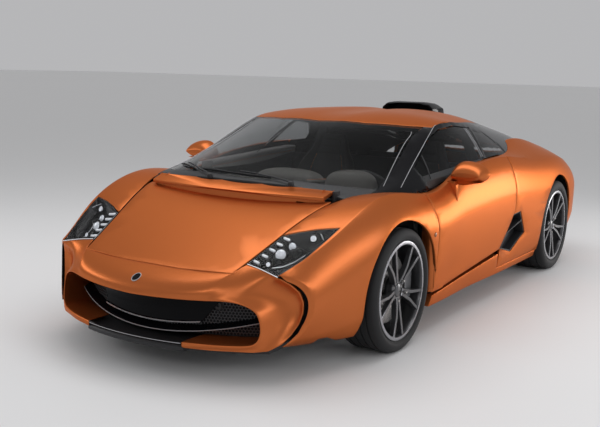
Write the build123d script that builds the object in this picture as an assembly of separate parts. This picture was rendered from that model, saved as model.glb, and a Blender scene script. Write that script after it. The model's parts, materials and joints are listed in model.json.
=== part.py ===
"""A mid-engined two-seat sports coupe, built as separate panels, wheels and cabin parts.

Millimetres, +Z up, the nose towards -Y, the car's own left side towards +X.  The origin lies on the
ground under the middle of the car's length.  The body comes from two lofts, the lower hull and the
greenhouse above it, and every outer panel is a stretch of one of those two skins.
"""
from build123d import *
import math
import os

# ---------------------------------------------------------------- driving dimensions
NOSE_Y = -2245.0            # foremost point, on the splitter
TAIL_Y = 2245.0             # rearmost point, on the tail
FRONT_AXLE_Y = -1190.0
WHEELBASE = 2560.0
REAR_AXLE_Y = FRONT_AXLE_Y + WHEELBASE
SKIN = 16.0                 # thickness of a body panel
GLASS = 8.0                 # thickness of a window
GAP = 5.0                   # shut line round everything that opens
FIT = 0.3                   # clearance of a piece on its seat
REACH = 1300.0              # half width of a cutter that has to pass the whole car
TOP = 1500.0                # height of a cutter that has to pass the whole car

NOSE_RADIUS = 1155.0        # the nose is round in plan, about an upright axis
NOSE_AXIS_Y = NOSE_Y + NOSE_RADIUS
BLADE_RADIUS = 1150.0       # front edge of the wing blades, about the same axis
TAIL_RADIUS = 1350.0
TAIL_AXIS_Y = TAIL_Y - TAIL_RADIUS

# ---------------------------------------------------------------- section tables
# One row for each station along the lower hull.  Half widths and heights of its five corners:
# mid: height on the centre line.   crease: edge of bonnet or rear deck.   crest: top of the wing or
# the waist line.   side: widest point.   low: where the side turns under.   foot: lowest edge.
HULL = [
    # y,     mid z, crease x, z,  crest x, z,  side x, z,   low x, z,   foot x, z
    (-2500.0, 330, 392, 300, 620, 345, 740, 290, 690, 200, 630, 165),
    (-2200.0, 445, 446, 436, 672, 452, 772, 335, 722, 205, 650, 165),
    (-1950.0, 545, 488, 551, 704, 535, 797, 362, 748, 212, 680, 165),
    (-1700.0, 652, 540, 668, 790, 664, 868, 440, 848, 240, 790, 160),
    (-1430.0, 748, 600, 771, 815, 782, 922, 540, 908, 270, 862, 150),
    (-1190.0, 780, 664, 803, 825, 818, 938, 580, 926, 270, 880, 145),
    (-850.0, 770, 715, 785, 862, 788, 944, 580, 934, 300, 895, 145),
    (-450.0, 800, 740, 840, 868, 852, 942, 610, 926, 320, 895, 145),
    (100.0, 850, 740, 893, 866, 908, 948, 650, 928, 340, 900, 145),
    (550.0, 880, 716, 932, 872, 896, 955, 650, 936, 350, 905, 145),
    (950.0, 925, 690, 984, 880, 858, 958, 630, 948, 360, 905, 148),
    (1370.0, 915, 690, 944, 874, 842, 956, 610, 948, 360, 905, 155),
    (1750.0, 860, 664, 882, 842, 800, 930, 580, 922, 360, 872, 180),
    (2100.0, 790, 610, 810, 770, 738, 862, 552, 858, 362, 806, 205),
    (2450.0, 710, 545, 725, 690, 670, 780, 520, 774, 370, 730, 235),
]
# One row for each station along the greenhouse, which holds windscreen, roof and engine cover.
# ridge: height on the centre line.   bubble: inner foot of a roof bubble.   rail: roof edge.
# waist: where the side windows go into the hull.
CANOPY = [
    # y,     ridge z, bubble x, z,  rail x, z,  waist x, z
    (-1420.0, 778, 130, 777, 600, 755, 680, 725),
    (-1190.0, 885, 140, 883, 688, 812, 752, 770),
    (-900.0, 1003, 145, 1000, 742, 858, 822, 770),
    (-545.0, 1131, 145, 1130, 690, 1006, 838, 822),
    (-290.0, 1168, 145, 1175, 650, 1114, 840, 850),
    (50.0, 1178, 145, 1190, 642, 1130, 840, 880),
    (400.0, 1173, 145, 1185, 606, 1116, 828, 895),
    (700.0, 1145, 140, 1155, 566, 1086, 782, 915),
    (1050.0, 1070, 135, 1075, 552, 1030, 700, 935),
    (1500.0, 960, 130, 962, 546, 930, 630, 880),
    (2050.0, 812, 125, 811, 505, 790, 570, 745),
]
WAIST_DROP = 120.0          # the greenhouse skin runs this far on below the waist, inside the hull

# ---------------------------------------------------------------- wheels and steering
FRONT_WHEEL = dict(axle_z=324.0, tyre_r=324.0, width=235.0, face_x=925.0, rim_r=249.0, arch_r=366.0)
REAR_WHEEL = dict(axle_z=332.0, tyre_r=332.0, width=295.0, face_x=942.0, rim_r=249.0, arch_r=380.0)
KINGPIN_X = 775.0           # upright steering axis, inboard of the front wheel's middle
KINGPIN_R = 10.0
HUB_BORE_R = 34.0
SPINDLE_CLEARANCE = 0.06

# ---------------------------------------------------------------- doors
HINGE_X, HINGE_Y = 880.0, -755.0
DOOR_NOSE_R = 85.0          # the door's leading edge is round about its hinge
HINGE_PIN_R, HINGE_TOP_Z = 9.0, 690.0
HINGE_FOOT = (216.0, 236.0)        # underside and top of the bracket that carries the hinge pin
DOOR_REAR_Y = 400.0
DOOR_INNER_X = 792.0
DOOR_REAR_EASE = 12.0       # the rear edge leans forward by this much on the inside, to swing clear
DOOR_SLANT = [(DOOR_REAR_Y, 560.0), (200.0, 330.0)]   # the slanted lower rear corner, (y, z)
DOOR_FOOT_Z = 247.0         # the door's lower edge below its hinge


# ---------------------------------------------------------------- helpers
def arc_middle(start, end, bulge):
    """The middle of an arc from start to end that stands off the chord to the left of travel."""
    (x0, z0), (x1, z1) = start, end
    run = math.hypot(x1 - x0, z1 - z0)
    return (x0 + x1) / 2 - (z1 - z0) / run * bulge, (z0 + z1) / 2 + (x1 - x0) / run * bulge


def upright_bulge(tip, other):
    """The bulge of an arc between other and tip that stands upright at tip."""
    dx, dz = abs(tip[0] - other[0]), abs(tip[1] - other[1])
    radius = (dx * dx + dz * dz) / (2 * dx)
    return radius - math.sqrt(radius * radius - (dx * dx + dz * dz) / 4)


def section(y, mid, corners, bulges):
    """A closed, mirror-symmetric section: one arc over the top, then arcs down to the foot."""
    def arc(side, a, b, bulge):
        m = arc_middle(a, b, bulge)
        points = [Vector(side * x, y, z) for x, z in (a, m, b)]
        return ThreePointArc(*(points if side > 0 else reversed(points)))

    top, foot = corners[0], corners[-1]
    spans = list(zip(corners, corners[1:], bulges))
    edges = [ThreePointArc(Vector(-top[0], y, top[1]), Vector(0, y, mid), Vector(top[0], y, top[1]))]
    edges += [arc(1, *span) for span in spans]
    edges += [Line(Vector(foot[0], y, foot[1]), Vector(-foot[0], y, foot[1]))]
    edges += [arc(-1, *span) for span in reversed(spans)]
    return Wire(edges)


def hull_section(row, inset):
    y, mid, crease_x, crease_z, crest_x, crest_z, side_x, side_z, low_x, low_z, foot_x, foot_z = row
    corners = [(crease_x, crease_z - inset), (crest_x - 0.8 * inset, crest_z - inset), (side_x - inset, side_z),
               (low_x - inset, low_z + 0.2 * inset), (foot_x - 0.8 * inset, foot_z + inset)]
    bulges = (3.0, upright_bulge(corners[2], corners[1]), upright_bulge(corners[2], corners[3]), 6.0)
    return section(y, mid - inset, corners, bulges)


def canopy_section(row, inset):
    y, ridge, bubble_x, bubble_z, rail_x, rail_z, waist_x, waist_z = row
    corners = [(bubble_x, bubble_z - inset), (rail_x - 0.9 * inset, rail_z - 0.9 * inset),
               (waist_x - inset, waist_z), (waist_x - 60 - inset, waist_z - WAIST_DROP - 2 * abs(inset))]
    return section(y, ridge - inset, corners, (10 + 0.12 * (bubble_z - rail_z), 10.0, 2.0))


def loft_skin(table, make, inset=0.0):
    return Solid.make_loft([make(row, inset) for row in table])


def box(x0, x1, y0, y1, z0, z1):
    return Pos((x0 + x1) / 2, (y0 + y1) / 2, (z0 + z1) / 2) * Box(x1 - x0, y1 - y0, z1 - z0)


def prism_x(points, x0, x1):
    """A prism between x0 and x1 over a polygon of (y, z) points."""
    face = Face(Wire.make_polygon([Vector(x0, y, z) for y, z in points], close=True))
    return Solid.extrude(face, Vector(x1 - x0, 0, 0))


def prism_y(points, y0, y1):
    """A prism between y0 and y1 over a polygon of (x, z) points."""
    face = Face(Wire.make_polygon([Vector(x, y0, z) for x, z in points], close=True))
    return Solid.extrude(face, Vector(0, y1 - y0, 0))


def prism_z(points, z0=0.0, z1=TOP):
    """A prism between z0 and z1 over a polygon of (x, y) points."""
    face = Face(Wire.make_polygon([Vector(x, y, z0) for x, y in points], close=True))
    return Solid.extrude(face, Vector(0, 0, z1 - z0))


def rod(start, end, radius):
    """A round bar from start to end."""
    start, end = Vector(*start), Vector(*end)
    plane = Plane(origin=start, z_dir=end - start)
    return plane * Cylinder(radius, (end - start).length, align=(Align.CENTER, Align.CENTER, Align.MIN))


def turned(profile, axis_y):
    """A solid turned about the upright line at axis_y from a polygon of (radius, z) points."""
    face = Face(Wire.make_polygon([Vector(r, axis_y, z) for r, z in profile], close=True))
    return Solid.revolve(face, 360, Axis((0, axis_y, 0), (0, 0, 1)))


def mirrored(shape):
    return shape.mirror(Plane.YZ)


def both(shape):
    """The shape and its mirror image, as separate solids."""
    return Compound(list(shape.solids()) + list(mirrored(shape).solids()))


def solids_of(*shapes):
    return Compound([s for shape in shapes for s in shape.solids()])


def largest(shape, count=1):
    """The count largest solids of a cut, which drops the slivers that a cut can leave."""
    found = sorted(shape.solids(), key=lambda s: -s.volume)[:count]
    return found[0] if count == 1 else Compound(found)


# ---------------------------------------------------------------- the two skins
CANOPY_FIT = 0.4            # hull panels stand this far off the greenhouse panels
_lofts = {}


def hull_at(inset, side=False):
    """The hull drawn in by inset, whole or its left half only; each is lofted once."""
    key = ("hull", inset, side)
    if key not in _lofts:
        _lofts[key] = loft_skin(HULL, hull_section, inset)
        if side:
            _lofts[key] = _lofts[key] & box(-20 - inset, REACH, -2480 - inset, 2430 + inset, 0, TOP)
    return _lofts[key]


def canopy_at(inset):
    key = ("canopy", inset)
    if key not in _lofts:
        _lofts[key] = loft_skin(CANOPY, canopy_section, inset)
    return _lofts[key]


canopy = canopy_at(0.0)
LEFT = box(0, REACH, -2400, 2300, 0, TOP)
left_hull = hull_at(0.0) & LEFT
left_shell = left_hull - hull_at(SKIN, True)       # the hull's skin on the left side
left_shell = left_shell - canopy
FRONT_SPLIT_Y = HINGE_Y - DOOR_NOSE_R              # the wing ends and the door starts here


def canopy_shell(thickness):
    """The greenhouse skin, ended just below the hull's surface."""
    shell = canopy_at(CANOPY_FIT) & box(-REACH, REACH, -1405, 2040, 600, TOP)
    return shell - canopy_at(CANOPY_FIT + thickness) - hull_at(10.0)


canopy_panel = canopy_shell(SKIN)
canopy_glass = canopy_shell(GLASS)


# ---------------------------------------------------------------- shut lines in plan
def along(points, y):
    """The value at y of a line through (y, value) points."""
    for (y0, v0), (y1, v1) in zip(points, points[1:]):
        if y0 <= y <= y1:
            return v0 + (v1 - v0) * (y - y0) / (y1 - y0)
    return points[0][1] if y < points[0][0] else points[-1][1]


def crease_x(y, inward=0.0):
    """The bonnet edge's half width at y."""
    return along([(row[0], row[2]) for row in HULL], y) - inward


def whole(half):
    """A closed outline from its right half, which starts and ends on the centre line."""
    return half + [(-x, y) for x, y in reversed(half) if x > 0]


BONNET_FRONT_Y, BONNET_CORNER_Y, BONNET_REAR_Y = -2083.0, -2058.0, -1340.0
BONNET_FLAT_X = 180.0       # half width of the straight middle of the bonnet's front edge
BONNET_FRONT_GAP = 12.5     # the front edge swings forward a little as it lifts
BONNET_HINGE = (-1346.0, 815.0)   # (y, z) of the pins at the flap's ends
COWL_FRONT_Y = -1326.0
PIN_R = 4.0
COWL_CORNER_Y = -1500.0
HEAD_FRONT_Y = -1970.0
HEAD_OUTER_FRONT = (676.0, -2004.0)
HEAD_TIP = (786.0, -1634.0)


def half_bonnet(inward):
    """Half the bonnet's plan outline, from the front middle round to the rear, drawn in by inward."""
    edge = [(crease_x(y, inward + 4), y) for y in (-1950.0, -1700.0, -1430.0)]
    front = inward / GAP * BONNET_FRONT_GAP
    return [(0, BONNET_FRONT_Y + front), (BONNET_FLAT_X, BONNET_FRONT_Y + front),
            (crease_x(BONNET_CORNER_Y, inward + 8), BONNET_CORNER_Y + front)] + edge + [
            (edge[-1][0] + 6, BONNET_REAR_Y), (0, BONNET_REAR_Y)]


def build_bonnet():
    """The bonnet skin and the raised flap across its rear, which lets air out in front of the screen."""
    region = prism_z(whole(half_bonnet(GAP / 2)), 300)
    skin = (hull_at(0.0) & box(-720, 720, -2300, -1350, 350, TOP)) - hull_at(SKIN)
    skin = (skin & region) - canopy_at(-GAP) - box(-REACH, REACH, -1397, 0, 0, TOP)
    side = [(-1452, 790), (BONNET_REAR_Y, 826), (BONNET_REAR_Y, 806), (-1420, 780), (-1442, 780)]
    flap = prism_x(side, -575, 575) & prism_z([(-565, -1425), (0, -1460), (565, -1425), (575, -1300), (-575, -1300)])
    flap = (flap - canopy_at(-GAP)) + rod((-575, *BONNET_HINGE), (-520, *BONNET_HINGE), 9) + rod(
        (520, *BONNET_HINGE), (575, *BONNET_HINGE), 9)
    web = prism_x([(-1430, 735), (-1430, 793), (-1390, 800), (-1390, 735)], -545, 545)
    web = (web & prism_z([(-545, -1404), (0, -1430), (545, -1404), (545, -1390), (-545, -1390)])) - canopy_at(-GAP)
    lid = largest(skin) + (web - hull_at(40.0)) + flap
    for x in (-575, 535):
        lid = lid - rod((x, *BONNET_HINGE), (x + 40, *BONNET_HINGE), PIN_R + FIT)
    return largest(lid)


# ---------------------------------------------------------------- nose
MOUTH_TOP = [(-480, 392), (0, 375), (480, 392)]
MOUTH_END = [(480, 392), (598, 352), (624, 272)]
MOUTH_LOW = [(624, 240), (612, 200), (570, 187)]
MOUTH_LIP = 14.0            # wall of the ring that lines the mouth
MESH_R = 985.0              # the mesh panel's rear face, behind the mouth
TOW_EYE = (360.0, 330.0, 8.0)      # x, z and bore radius of the threaded socket behind the mesh
CHIN_GAP_X = 300.0          # the mouth's lower lip stops here and leaves the splitter bare
SPLITTER_TOP_Z = 168.0
SPLITTER_REAR_R = 880.0
LIP_FOOT_Z = 165.0          # underside of the nose panel
NOSE_FACE = [(1155, 165), (1153, 230), (1148, 300), (1140, 371), (1124, 420), (1098, 470), (1060, 560)]  # (radius, z)
BROW_R = 80.0               # rounding between the bonnet's surface and the nose's face
DISH_R = 110.0
# the dish's sweep: x, z and how far its axis stands off the nose's face
DISH_PATH = [(640, 505, 102), (715, 455, 74), (752, 390, 72), (757, 330, 72), (735, 262, 72), (690, 205, 76), (630, 165, 90)]
# front views, (x, z), of the nose panel's edge and of the blade's inner edge
NOSE_EDGE = [(600, 140), (660, 150), (690, 178), (716, 203), (746, 249), (761, 309), (761, 354), (757, 378), (737, 420),
             (708, 470), (684, 500), (684, 640)]
BLADE_EDGE = [(693, 0), (693, 176), (727, 207), (760, 251), (781, 309), (785, 354), (780, 381), (756, 426),
              (722, 479), (687, 514)]


def nose_face(rise=0.0):
    """The solid inside the nose's face; rise moves the face back for the panel's inner wall."""
    foot, head = 100, 700
    points = [Vector(r - rise, NOSE_AXIS_Y, z) for r, z in NOSE_FACE]
    low = [Vector(0, NOSE_AXIS_Y, foot), Vector(points[0].X, NOSE_AXIS_Y, foot), points[0]]
    high = [points[-1], Vector(points[-1].X, NOSE_AXIS_Y, head), Vector(0, NOSE_AXIS_Y, head), low[0]]
    straight = [Line(a, b) for run in (low, high) for a, b in zip(run, run[1:])]
    return Solid.revolve(Face(Wire([Spline(*points)] + straight)), 360, Axis((0, NOSE_AXIS_Y, 0), (0, 0, 1)))


def face_radius(z):
    return along([(height, r) for r, height in NOSE_FACE], z)


def dish(radius):
    """The hollow beside the left end of the mouth, swept along the blade's inner edge."""
    points = []
    for x, z, stand_off in DISH_PATH:
        r = face_radius(z) + stand_off
        points.append(Vector(x, NOSE_AXIS_Y - math.sqrt(r * r - x * x), z))
    path = Spline(*points)
    return sweep(Plane(origin=path @ 0, z_dir=path % 0) * Circle(radius), path=path)


def turned_tail(rise=0.0):
    """The solid inside the tail's face."""
    profile = [(0, 40), (1270, 40), (1290, 200), (1350, 480), (1344, 620), (1318, 740), (1290, TOP), (0, TOP)]
    return turned([(max(r - rise, 0), z) for r, z in profile], TAIL_AXIS_Y)


def mouth_prism(y0, y1, grow=0.0):
    """A bar across the mouth's outline, grown outward by grow."""
    def out(x, z):
        return Vector(x + grow * math.copysign(1, x) if abs(x) > 560 else x, y0, z + grow if z > 300 else z - grow)

    def mirror(v):
        return Vector(-v.X, v.Y, v.Z)

    top, end, low = ([out(*p) for p in points] for points in (MOUTH_TOP, MOUTH_END, MOUTH_LOW))
    right = [ThreePointArc(*end), Line(end[2], low[0]), ThreePointArc(*low)]
    left = [ThreePointArc(*map(mirror, reversed(low))), Line(mirror(low[0]), mirror(end[2])),
            ThreePointArc(*map(mirror, reversed(end)))]
    wire = Wire([ThreePointArc(*top)] + right + [Line(low[2], mirror(low[2]))] + left)
    return Solid.extrude(Face(wire), Vector(0, y1 - y0, 0))


def brow_edge(block):
    """The long edge where the bonnet's surface meets the nose's face."""
    found = []
    for edge in block.edges():
        middle = edge @ 0.5
        radius = math.hypot(middle.X, middle.Y - NOSE_AXIS_Y)
        if middle.Z > 425 and edge.length > 500 and abs(radius - face_radius(middle.Z)) < 5:
            found.append(edge)
    return found


def build_nose_panel():
    """The nose panel between the wing blades, with the mouth's deep lip and a dish at each side."""
    front_y = BONNET_FRONT_Y - GAP / 2
    plan = [(0, front_y), (BONNET_FLAT_X, front_y), (crease_x(BONNET_CORNER_Y), BONNET_CORNER_Y - GAP / 2),
            (crease_x(HEAD_FRONT_Y), HEAD_FRONT_Y - FIT), (crease_x(HEAD_FRONT_Y), -1850), (800, -1850), (800, -2440), (0, -2440)]
    half = box(0, REACH, -2500, -1700, 100, 800)
    block = (hull_at(0.0) & box(-REACH, REACH, -2440, -1850, 150, 700)) & nose_face()
    block = (fillet(brow_edge(block), BROW_R) & half) - dish(DISH_R)
    inner = (hull_at(18.0) & box(-10, REACH, -2600, -1600, 188, 800)) & nose_face(20.0)
    shell = (block - (inner - dish(DISH_R + 16))) & prism_z(plan, 100, 700)
    lamp_line = [(400, HEAD_FRONT_Y - FIT), (crease_x(HEAD_FRONT_Y), HEAD_FRONT_Y - FIT),
                 (HEAD_OUTER_FRONT[0], HEAD_OUTER_FRONT[1] - FIT), (830, HEAD_OUTER_FRONT[1] - FIT), (830, -1800), (400, -1800)]
    shell = (shell & prism_y([(0, 140)] + NOSE_EDGE + [(0, 640)], -2440, -1800)) - prism_z(lamp_line, 420)
    shell = shell - mouth_prism(-2500, -1700, 7.0) - turned([(0, 0), (1078, 0), (1078, 420), (0, 420)], NOSE_AXIS_Y)
    ring = (mouth_prism(-2400, -1960, MOUTH_LIP) - mouth_prism(-2500, -1900)) & nose_face()
    ring = (ring - turned([(0, 0), (MESH_R - 5, 0), (MESH_R - 5, 600), (0, 600)], NOSE_AXIS_Y)) & half
    panel = (shell + ring) - box(-10, CHIN_GAP_X, -2400, -1700, 100, 215)
    panel = largest(panel)
    return largest(panel + mirrored(panel))


def build_front_grille():
    """The mesh panel and two cross blades behind the mouth."""
    opening = mouth_prism(-2400, -1700, -2 * FIT)
    grille = turned([(MESH_R, 175), (MESH_R + 10, 175), (MESH_R + 10, 400), (MESH_R, 400)], NOSE_AXIS_Y) & opening
    for low, high, reach in ((230, 242, 1070), (200, 210, 1105)):
        blade = turned([(MESH_R + 5, low), (reach, low + 2), (reach, high), (MESH_R + 5, high)], NOSE_AXIS_Y)
        grille = grille + (blade & opening)
    x, z, r = TOW_EYE
    return largest(grille - rod((x, -2200, z), (x, -1900, z), r + 10 + FIT))


def build_splitter():
    """The black plate under the mouth, whose front edge shows between the lip's two ends."""
    r = face_radius(LIP_FOOT_Z)
    plate = turned([(SPLITTER_REAR_R, 140), (r - 45, 140), (r - 45, LIP_FOOT_Z - FIT), (SPLITTER_REAR_R, LIP_FOOT_Z - FIT)],
                   NOSE_AXIS_Y)
    edge = turned([(r - 60, 140), (r - 9, 140), (r, 148), (r, SPLITTER_TOP_Z - 8), (r - 9, SPLITTER_TOP_Z),
                   (r - 60, SPLITTER_TOP_Z)], NOSE_AXIS_Y)
    edge = edge & box(FIT - CHIN_GAP_X, CHIN_GAP_X - FIT, -2400, -1720, 100, 200)
    return largest((plate & box(-640, 640, -2400, -1720, 100, 200)) + edge)


def build_nose_ducts():
    """The dark channels between the nose's bulge and the wings' blades."""
    outline = [(600, 180), (700, 195), (760, 262), (786, 354), (758, 424), (700, 470), (640, 460), (620, 400)]
    duct = turned([(1062, 170), (1074, 170), (1074, 330), (1058, 490), (1046, 490), (1062, 330)], NOSE_AXIS_Y)
    return both(largest((duct & prism_y(outline, -2300, -1780)) - mouth_prism(-2500, -1700, MOUTH_LIP + FIT)))


# ---------------------------------------------------------------- wings and lamps
def lamp_plan(grow=0.0, inner=None):
    """The headlamp's plan outline; inner moves the edge beside the bonnet on its own."""
    inner = grow if inner is None else inner
    return [(crease_x(-1970, inner - 3), HEAD_FRONT_Y - grow), (HEAD_OUTER_FRONT[0] + grow, HEAD_OUTER_FRONT[1] - grow),
            (735 + grow, -1855), (770 + grow, -1725), (HEAD_TIP[0] + grow, HEAD_TIP[1] + grow), (680, -1668 + grow),
            (600, -1705 + grow), (crease_x(-1745, inner - 3), -1745 + grow)]


def wheel_well(wheel, axle_y, inner_x):
    """The space a wheel needs in the body: round above the axle, upright below it."""
    r, z = wheel["arch_r"], wheel["axle_z"]
    hole = rod((inner_x, axle_y, z), (REACH, axle_y, z), r)
    return hole + box(inner_x, REACH, axle_y - r, axle_y + r, 0, z)


front_well = wheel_well(FRONT_WHEEL, FRONT_AXLE_Y, 515)
rear_well = wheel_well(REAR_WHEEL, REAR_AXLE_Y, 600)


def door_space(gap):
    """What a closed left door fills, grown by gap, without its top, which is the hull's own."""
    (y0, z0), (y1, z1) = DOOR_SLANT
    outline = [(y0 + gap, 1100), (y0 + gap, z0 - gap * 0.4), (y1 + gap * 0.6, z1 - gap), (HINGE_Y, DOOR_FOOT_Z - gap),
               (HINGE_Y, 1100)]
    slab = prism_x(outline, DOOR_INNER_X - gap, REACH)
    return slab + rod((HINGE_X, HINGE_Y, DOOR_FOOT_Z - gap), (HINGE_X, HINGE_Y, 1100), DOOR_NOSE_R + gap)


door_gap = door_space(GAP)


def build_wings():
    """The front wings: the blade that curls round the nose, the crest and the wheel's arch."""
    plan = [(crease_x(-2330), -2400), (crease_x(-1950, -2), -1950), (crease_x(-1700, -2), -1700),
            (crease_x(-1500, -2), COWL_CORNER_Y), (704, -1150), (790, -960), (800, FRONT_SPLIT_Y + 60),
            (REACH, FRONT_SPLIT_Y + 60), (REACH, -2400)]
    blade_r = BLADE_RADIUS - 0.3
    blade_end = turned([(0, 40), (blade_r, 40), (blade_r - 14, 560), (blade_r - 14, TOP), (0, TOP)], NOSE_AXIS_Y)
    skin = (left_shell & prism_z(plan) & blade_end) - prism_z(lamp_plan(0.0, 20.0), 380)
    skin = skin - front_well - prism_y([(0, 0)] + BLADE_EDGE + [(0, 514)], -2400, -1790)
    skin = skin - prism_z([(0, -2400), (REACH, -2400), (REACH, -2004.6), (HEAD_OUTER_FRONT[0], -2004.6), (0, -1960)], 514, TOP)
    skin = skin - box(0, 800, -1800, 0, 0, 190) - box(0, 705, -2400, -1500, 0, 300)
    return both(largest(skin - door_gap))


def build_headlamps():
    """The headlamp bowls, each with two projectors on its floor."""
    zone = box(400, REACH, -2100, -1560, 300, 900)
    block = (hull_at(5.3) & zone & prism_z(lamp_plan(-FIT), 380)) - hull_at(70.0)
    pocket = (hull_at(2.0) & zone & prism_z(lamp_plan(-8.0), 380)) - hull_at(58.0)
    bowl = largest(block - pocket)
    for x, y, low, high in ((588, -1845, 440, 560), (645, -1780, 440, 600)):
        bowl = bowl + ((rod((x, y, low), (x, y - 10, high), 26) & hull_at(20.0)) - hull_at(62.0))
    return both(largest(bowl))


def build_headlamp_glass():
    glass = (hull_at(0.0) & box(400, REACH, -2100, -1560, 300, 900) & prism_z(lamp_plan(-FIT), 380)) - hull_at(5.0)
    return both(largest(glass))


# ---------------------------------------------------------------- doors
GLASS_FRONT_Y = HINGE_Y + 30.0
DOOR_GLASS = [(GLASS_FRONT_Y, 700), (GLASS_FRONT_Y, 905), (-420, 1052), (-250, 1098), (-50, 1109), (214, 1088),
              (88, 905), (96, 700)]


def build_door():
    """The left door: the whole wall from its outer skin in, hollowed on the inside."""
    rear = DOOR_REAR_Y - DOOR_REAR_EASE
    ease = prism_z([(DOOR_INNER_X - 20, rear - 2), (REACH, DOOR_REAR_Y + 25), (REACH, HINGE_Y - 200),
                    (DOOR_INNER_X - 20, HINGE_Y - 200)])
    panel = ((left_hull & door_space(0.0)) - canopy) & ease
    panel = panel - prism_x([(-560, 400), (-560, 690), (200, 690), (300, 560), (170, 400)], 0, DOOR_INNER_X + 24)
    return largest(panel - rod((HINGE_X, HINGE_Y, 0), (HINGE_X, HINGE_Y, HINGE_TOP_Z + 3), HINGE_PIN_R + FIT))


def build_door_glass():
    """The left side window, standing in the door's top."""
    return largest((canopy_glass & LEFT & prism_x(DOOR_GLASS, 400, REACH)))


def build_mirror():
    """The left mirror: a wedge-shaped pod on a slender arm from the door."""
    side = [(-500, 808), (-545, 868), (-520, 912), (-482, 946), (-442, 946), (-442, 812)]
    front = [(852, 818), (848, 862), (868, 905), (900, 946), (975, 946), (1045, 926), (1086, 880), (1066, 836),
             (1030, 828), (940, 808)]
    plan = [(840, -520), (930, -550), (1010, -545), (1090, -505), (1090, -470), (840, -430)]
    pod = prism_x(side, 840, 1095) & prism_y(front, -560, -430) & prism_z(plan, 800, 960)
    arm = prism_y([(858, 832), (906, 832), (925, 720), (905, 672), (860, 672)], -540, -498)
    return largest((pod + arm) - hull_at(-FIT))


# ---------------------------------------------------------------- greenhouse
FRONT_EDGE = [(0, -545), (300, -497), (520, -385), (600, -330)]   # where roof and windscreen meet, (x, y)
ROOF_HALF = FRONT_EDGE + [(641, -300), (646, -100), (632, 150), (604, 400), (580, 560), (0, 560)]
SCREEN_FOOT = [(600, -500), (706, -1112), (640, -1180), (450, -1252), (0, -1305)]
QUARTER = [(240, 1072), (150, 905), (200, 893), (590, 875), (560, 960), (430, 1050)]
COVER_REAR_Y, COVER_FRONT_X, COVER_REAR_X = 2000.0, 520.0, 470.0
COVER_HINGE = (935.0, 1078.0)      # (y, z) of the engine cover's pins
COVER_NOSE_R = 45.0                # its front edge is round about the pins
COVER_REAR_GAP = 12.0              # its rear edge swings back a little as it lifts
LUG_X = (200.0, 216.0, 232.0)      # the cover's lug, then the frame's lug beside it
EYE_R = 7.0                        # the frame's lug is round about the pin
HOOK_REACH, HOOK_DROP, HOOK_WALL = 52.0, 68.0, 16.0   # it hooks under the cover's nose, from the frame ahead of it
SCOOP_HOOP = [(0, 1226), (100, 1225), (160, 1214), (200, 1180), (215, 1060)]   # half of its front view, (x, z)
SCOOP_WALL = 12.0


def cover_space(grow=0.0, rear=0.0):
    """What the closed engine cover fills, seen from above, with its round front edge."""
    y, z = COVER_HINGE
    plan = [(-COVER_FRONT_X - grow, y), (COVER_FRONT_X + grow, y), (COVER_REAR_X + grow, COVER_REAR_Y + rear),
            (-COVER_REAR_X - grow, COVER_REAR_Y + rear)]
    return prism_z(plan, 600) + rod((-COVER_FRONT_X - grow, y, z), (COVER_FRONT_X + grow, y, z), COVER_NOSE_R + grow)


def build_windscreen():
    top = [(x, y - CANOPY_FIT) for x, y in FRONT_EDGE]
    return largest((canopy_glass & prism_z(whole(top + SCREEN_FOOT), 600)) & box(-REACH, REACH, -1400, 0, 700, TOP))


def build_roof():
    return largest(canopy_panel & prism_z(whole(ROOF_HALF), 1000))


def build_pillars():
    """The black frame between screen, roof, side windows and engine cover."""
    frame = canopy_panel & box(-REACH, REACH, COWL_FRONT_Y, 2035, 600, TOP)
    grown = [(x + CANOPY_FIT, y) for x, y in SCREEN_FOOT[:2]]
    frame = frame - prism_z(whole([(0, 0), (560, 0), (600 + CANOPY_FIT, FRONT_EDGE[-1][1])] + grown + [(grown[-1][0], -1500), (0, -1500)]), 600)
    edge = [(x + CANOPY_FIT if x else 0, y) for x, y in ROOF_HALF[:-1]]
    frame = frame - prism_z(whole([(0, -560)] + edge[1:] + [(580 + CANOPY_FIT, 560 + CANOPY_FIT), (0, 560 + CANOPY_FIT)]), 950)
    frame = frame - cover_space(GAP, COVER_REAR_GAP)
    door_hole = [(GLASS_FRONT_Y - GAP, 600), (GLASS_FRONT_Y - GAP, 908), (-423, 1059), (-251, 1104), (-49, 1115),
                 (228, 1092), (100, 908), (104, 600)]
    for hole in (door_hole, QUARTER):
        frame = frame - prism_x(hole, 300, REACH) - prism_x(hole, -REACH, -300)
    frame = largest(frame - (hull_at(-GAP) & box(-REACH, REACH, FRONT_SPLIT_Y - 5, DOOR_REAR_Y + GAP, 300, TOP)))
    y, z = COVER_HINGE
    low, mid, high = LUG_X
    front, foot = y - COVER_NOSE_R - HOOK_REACH, z - HOOK_DROP
    hook = [(front, TOP), (front, foot), (y + EYE_R, foot), (y + EYE_R, z), (y - EYE_R, z), (y - EYE_R, foot + HOOK_WALL),
            (front + HOOK_WALL, foot + HOOK_WALL), (front + HOOK_WALL, TOP)]
    lug = (prism_x(hook, mid + FIT, high) & canopy_at(8.0)) + rod((mid + FIT, y, z), (high, y, z), EYE_R)
    lug = lug + rod((low + 4, y, z), (high, y, z), PIN_R)
    return frame + both(lug)


def build_quarter_glass():
    cy, cz = 370.0, 950.0
    inner = [(cy + (y - cy) * 0.997, cz + (z - cz) * 0.995) for y, z in QUARTER]
    pane = canopy_glass & LEFT & prism_x(inner, 300, REACH)
    return both(largest(pane - (hull_at(-GAP) & box(0, REACH, 0, DOOR_REAR_Y + GAP, 300, TOP))))


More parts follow.
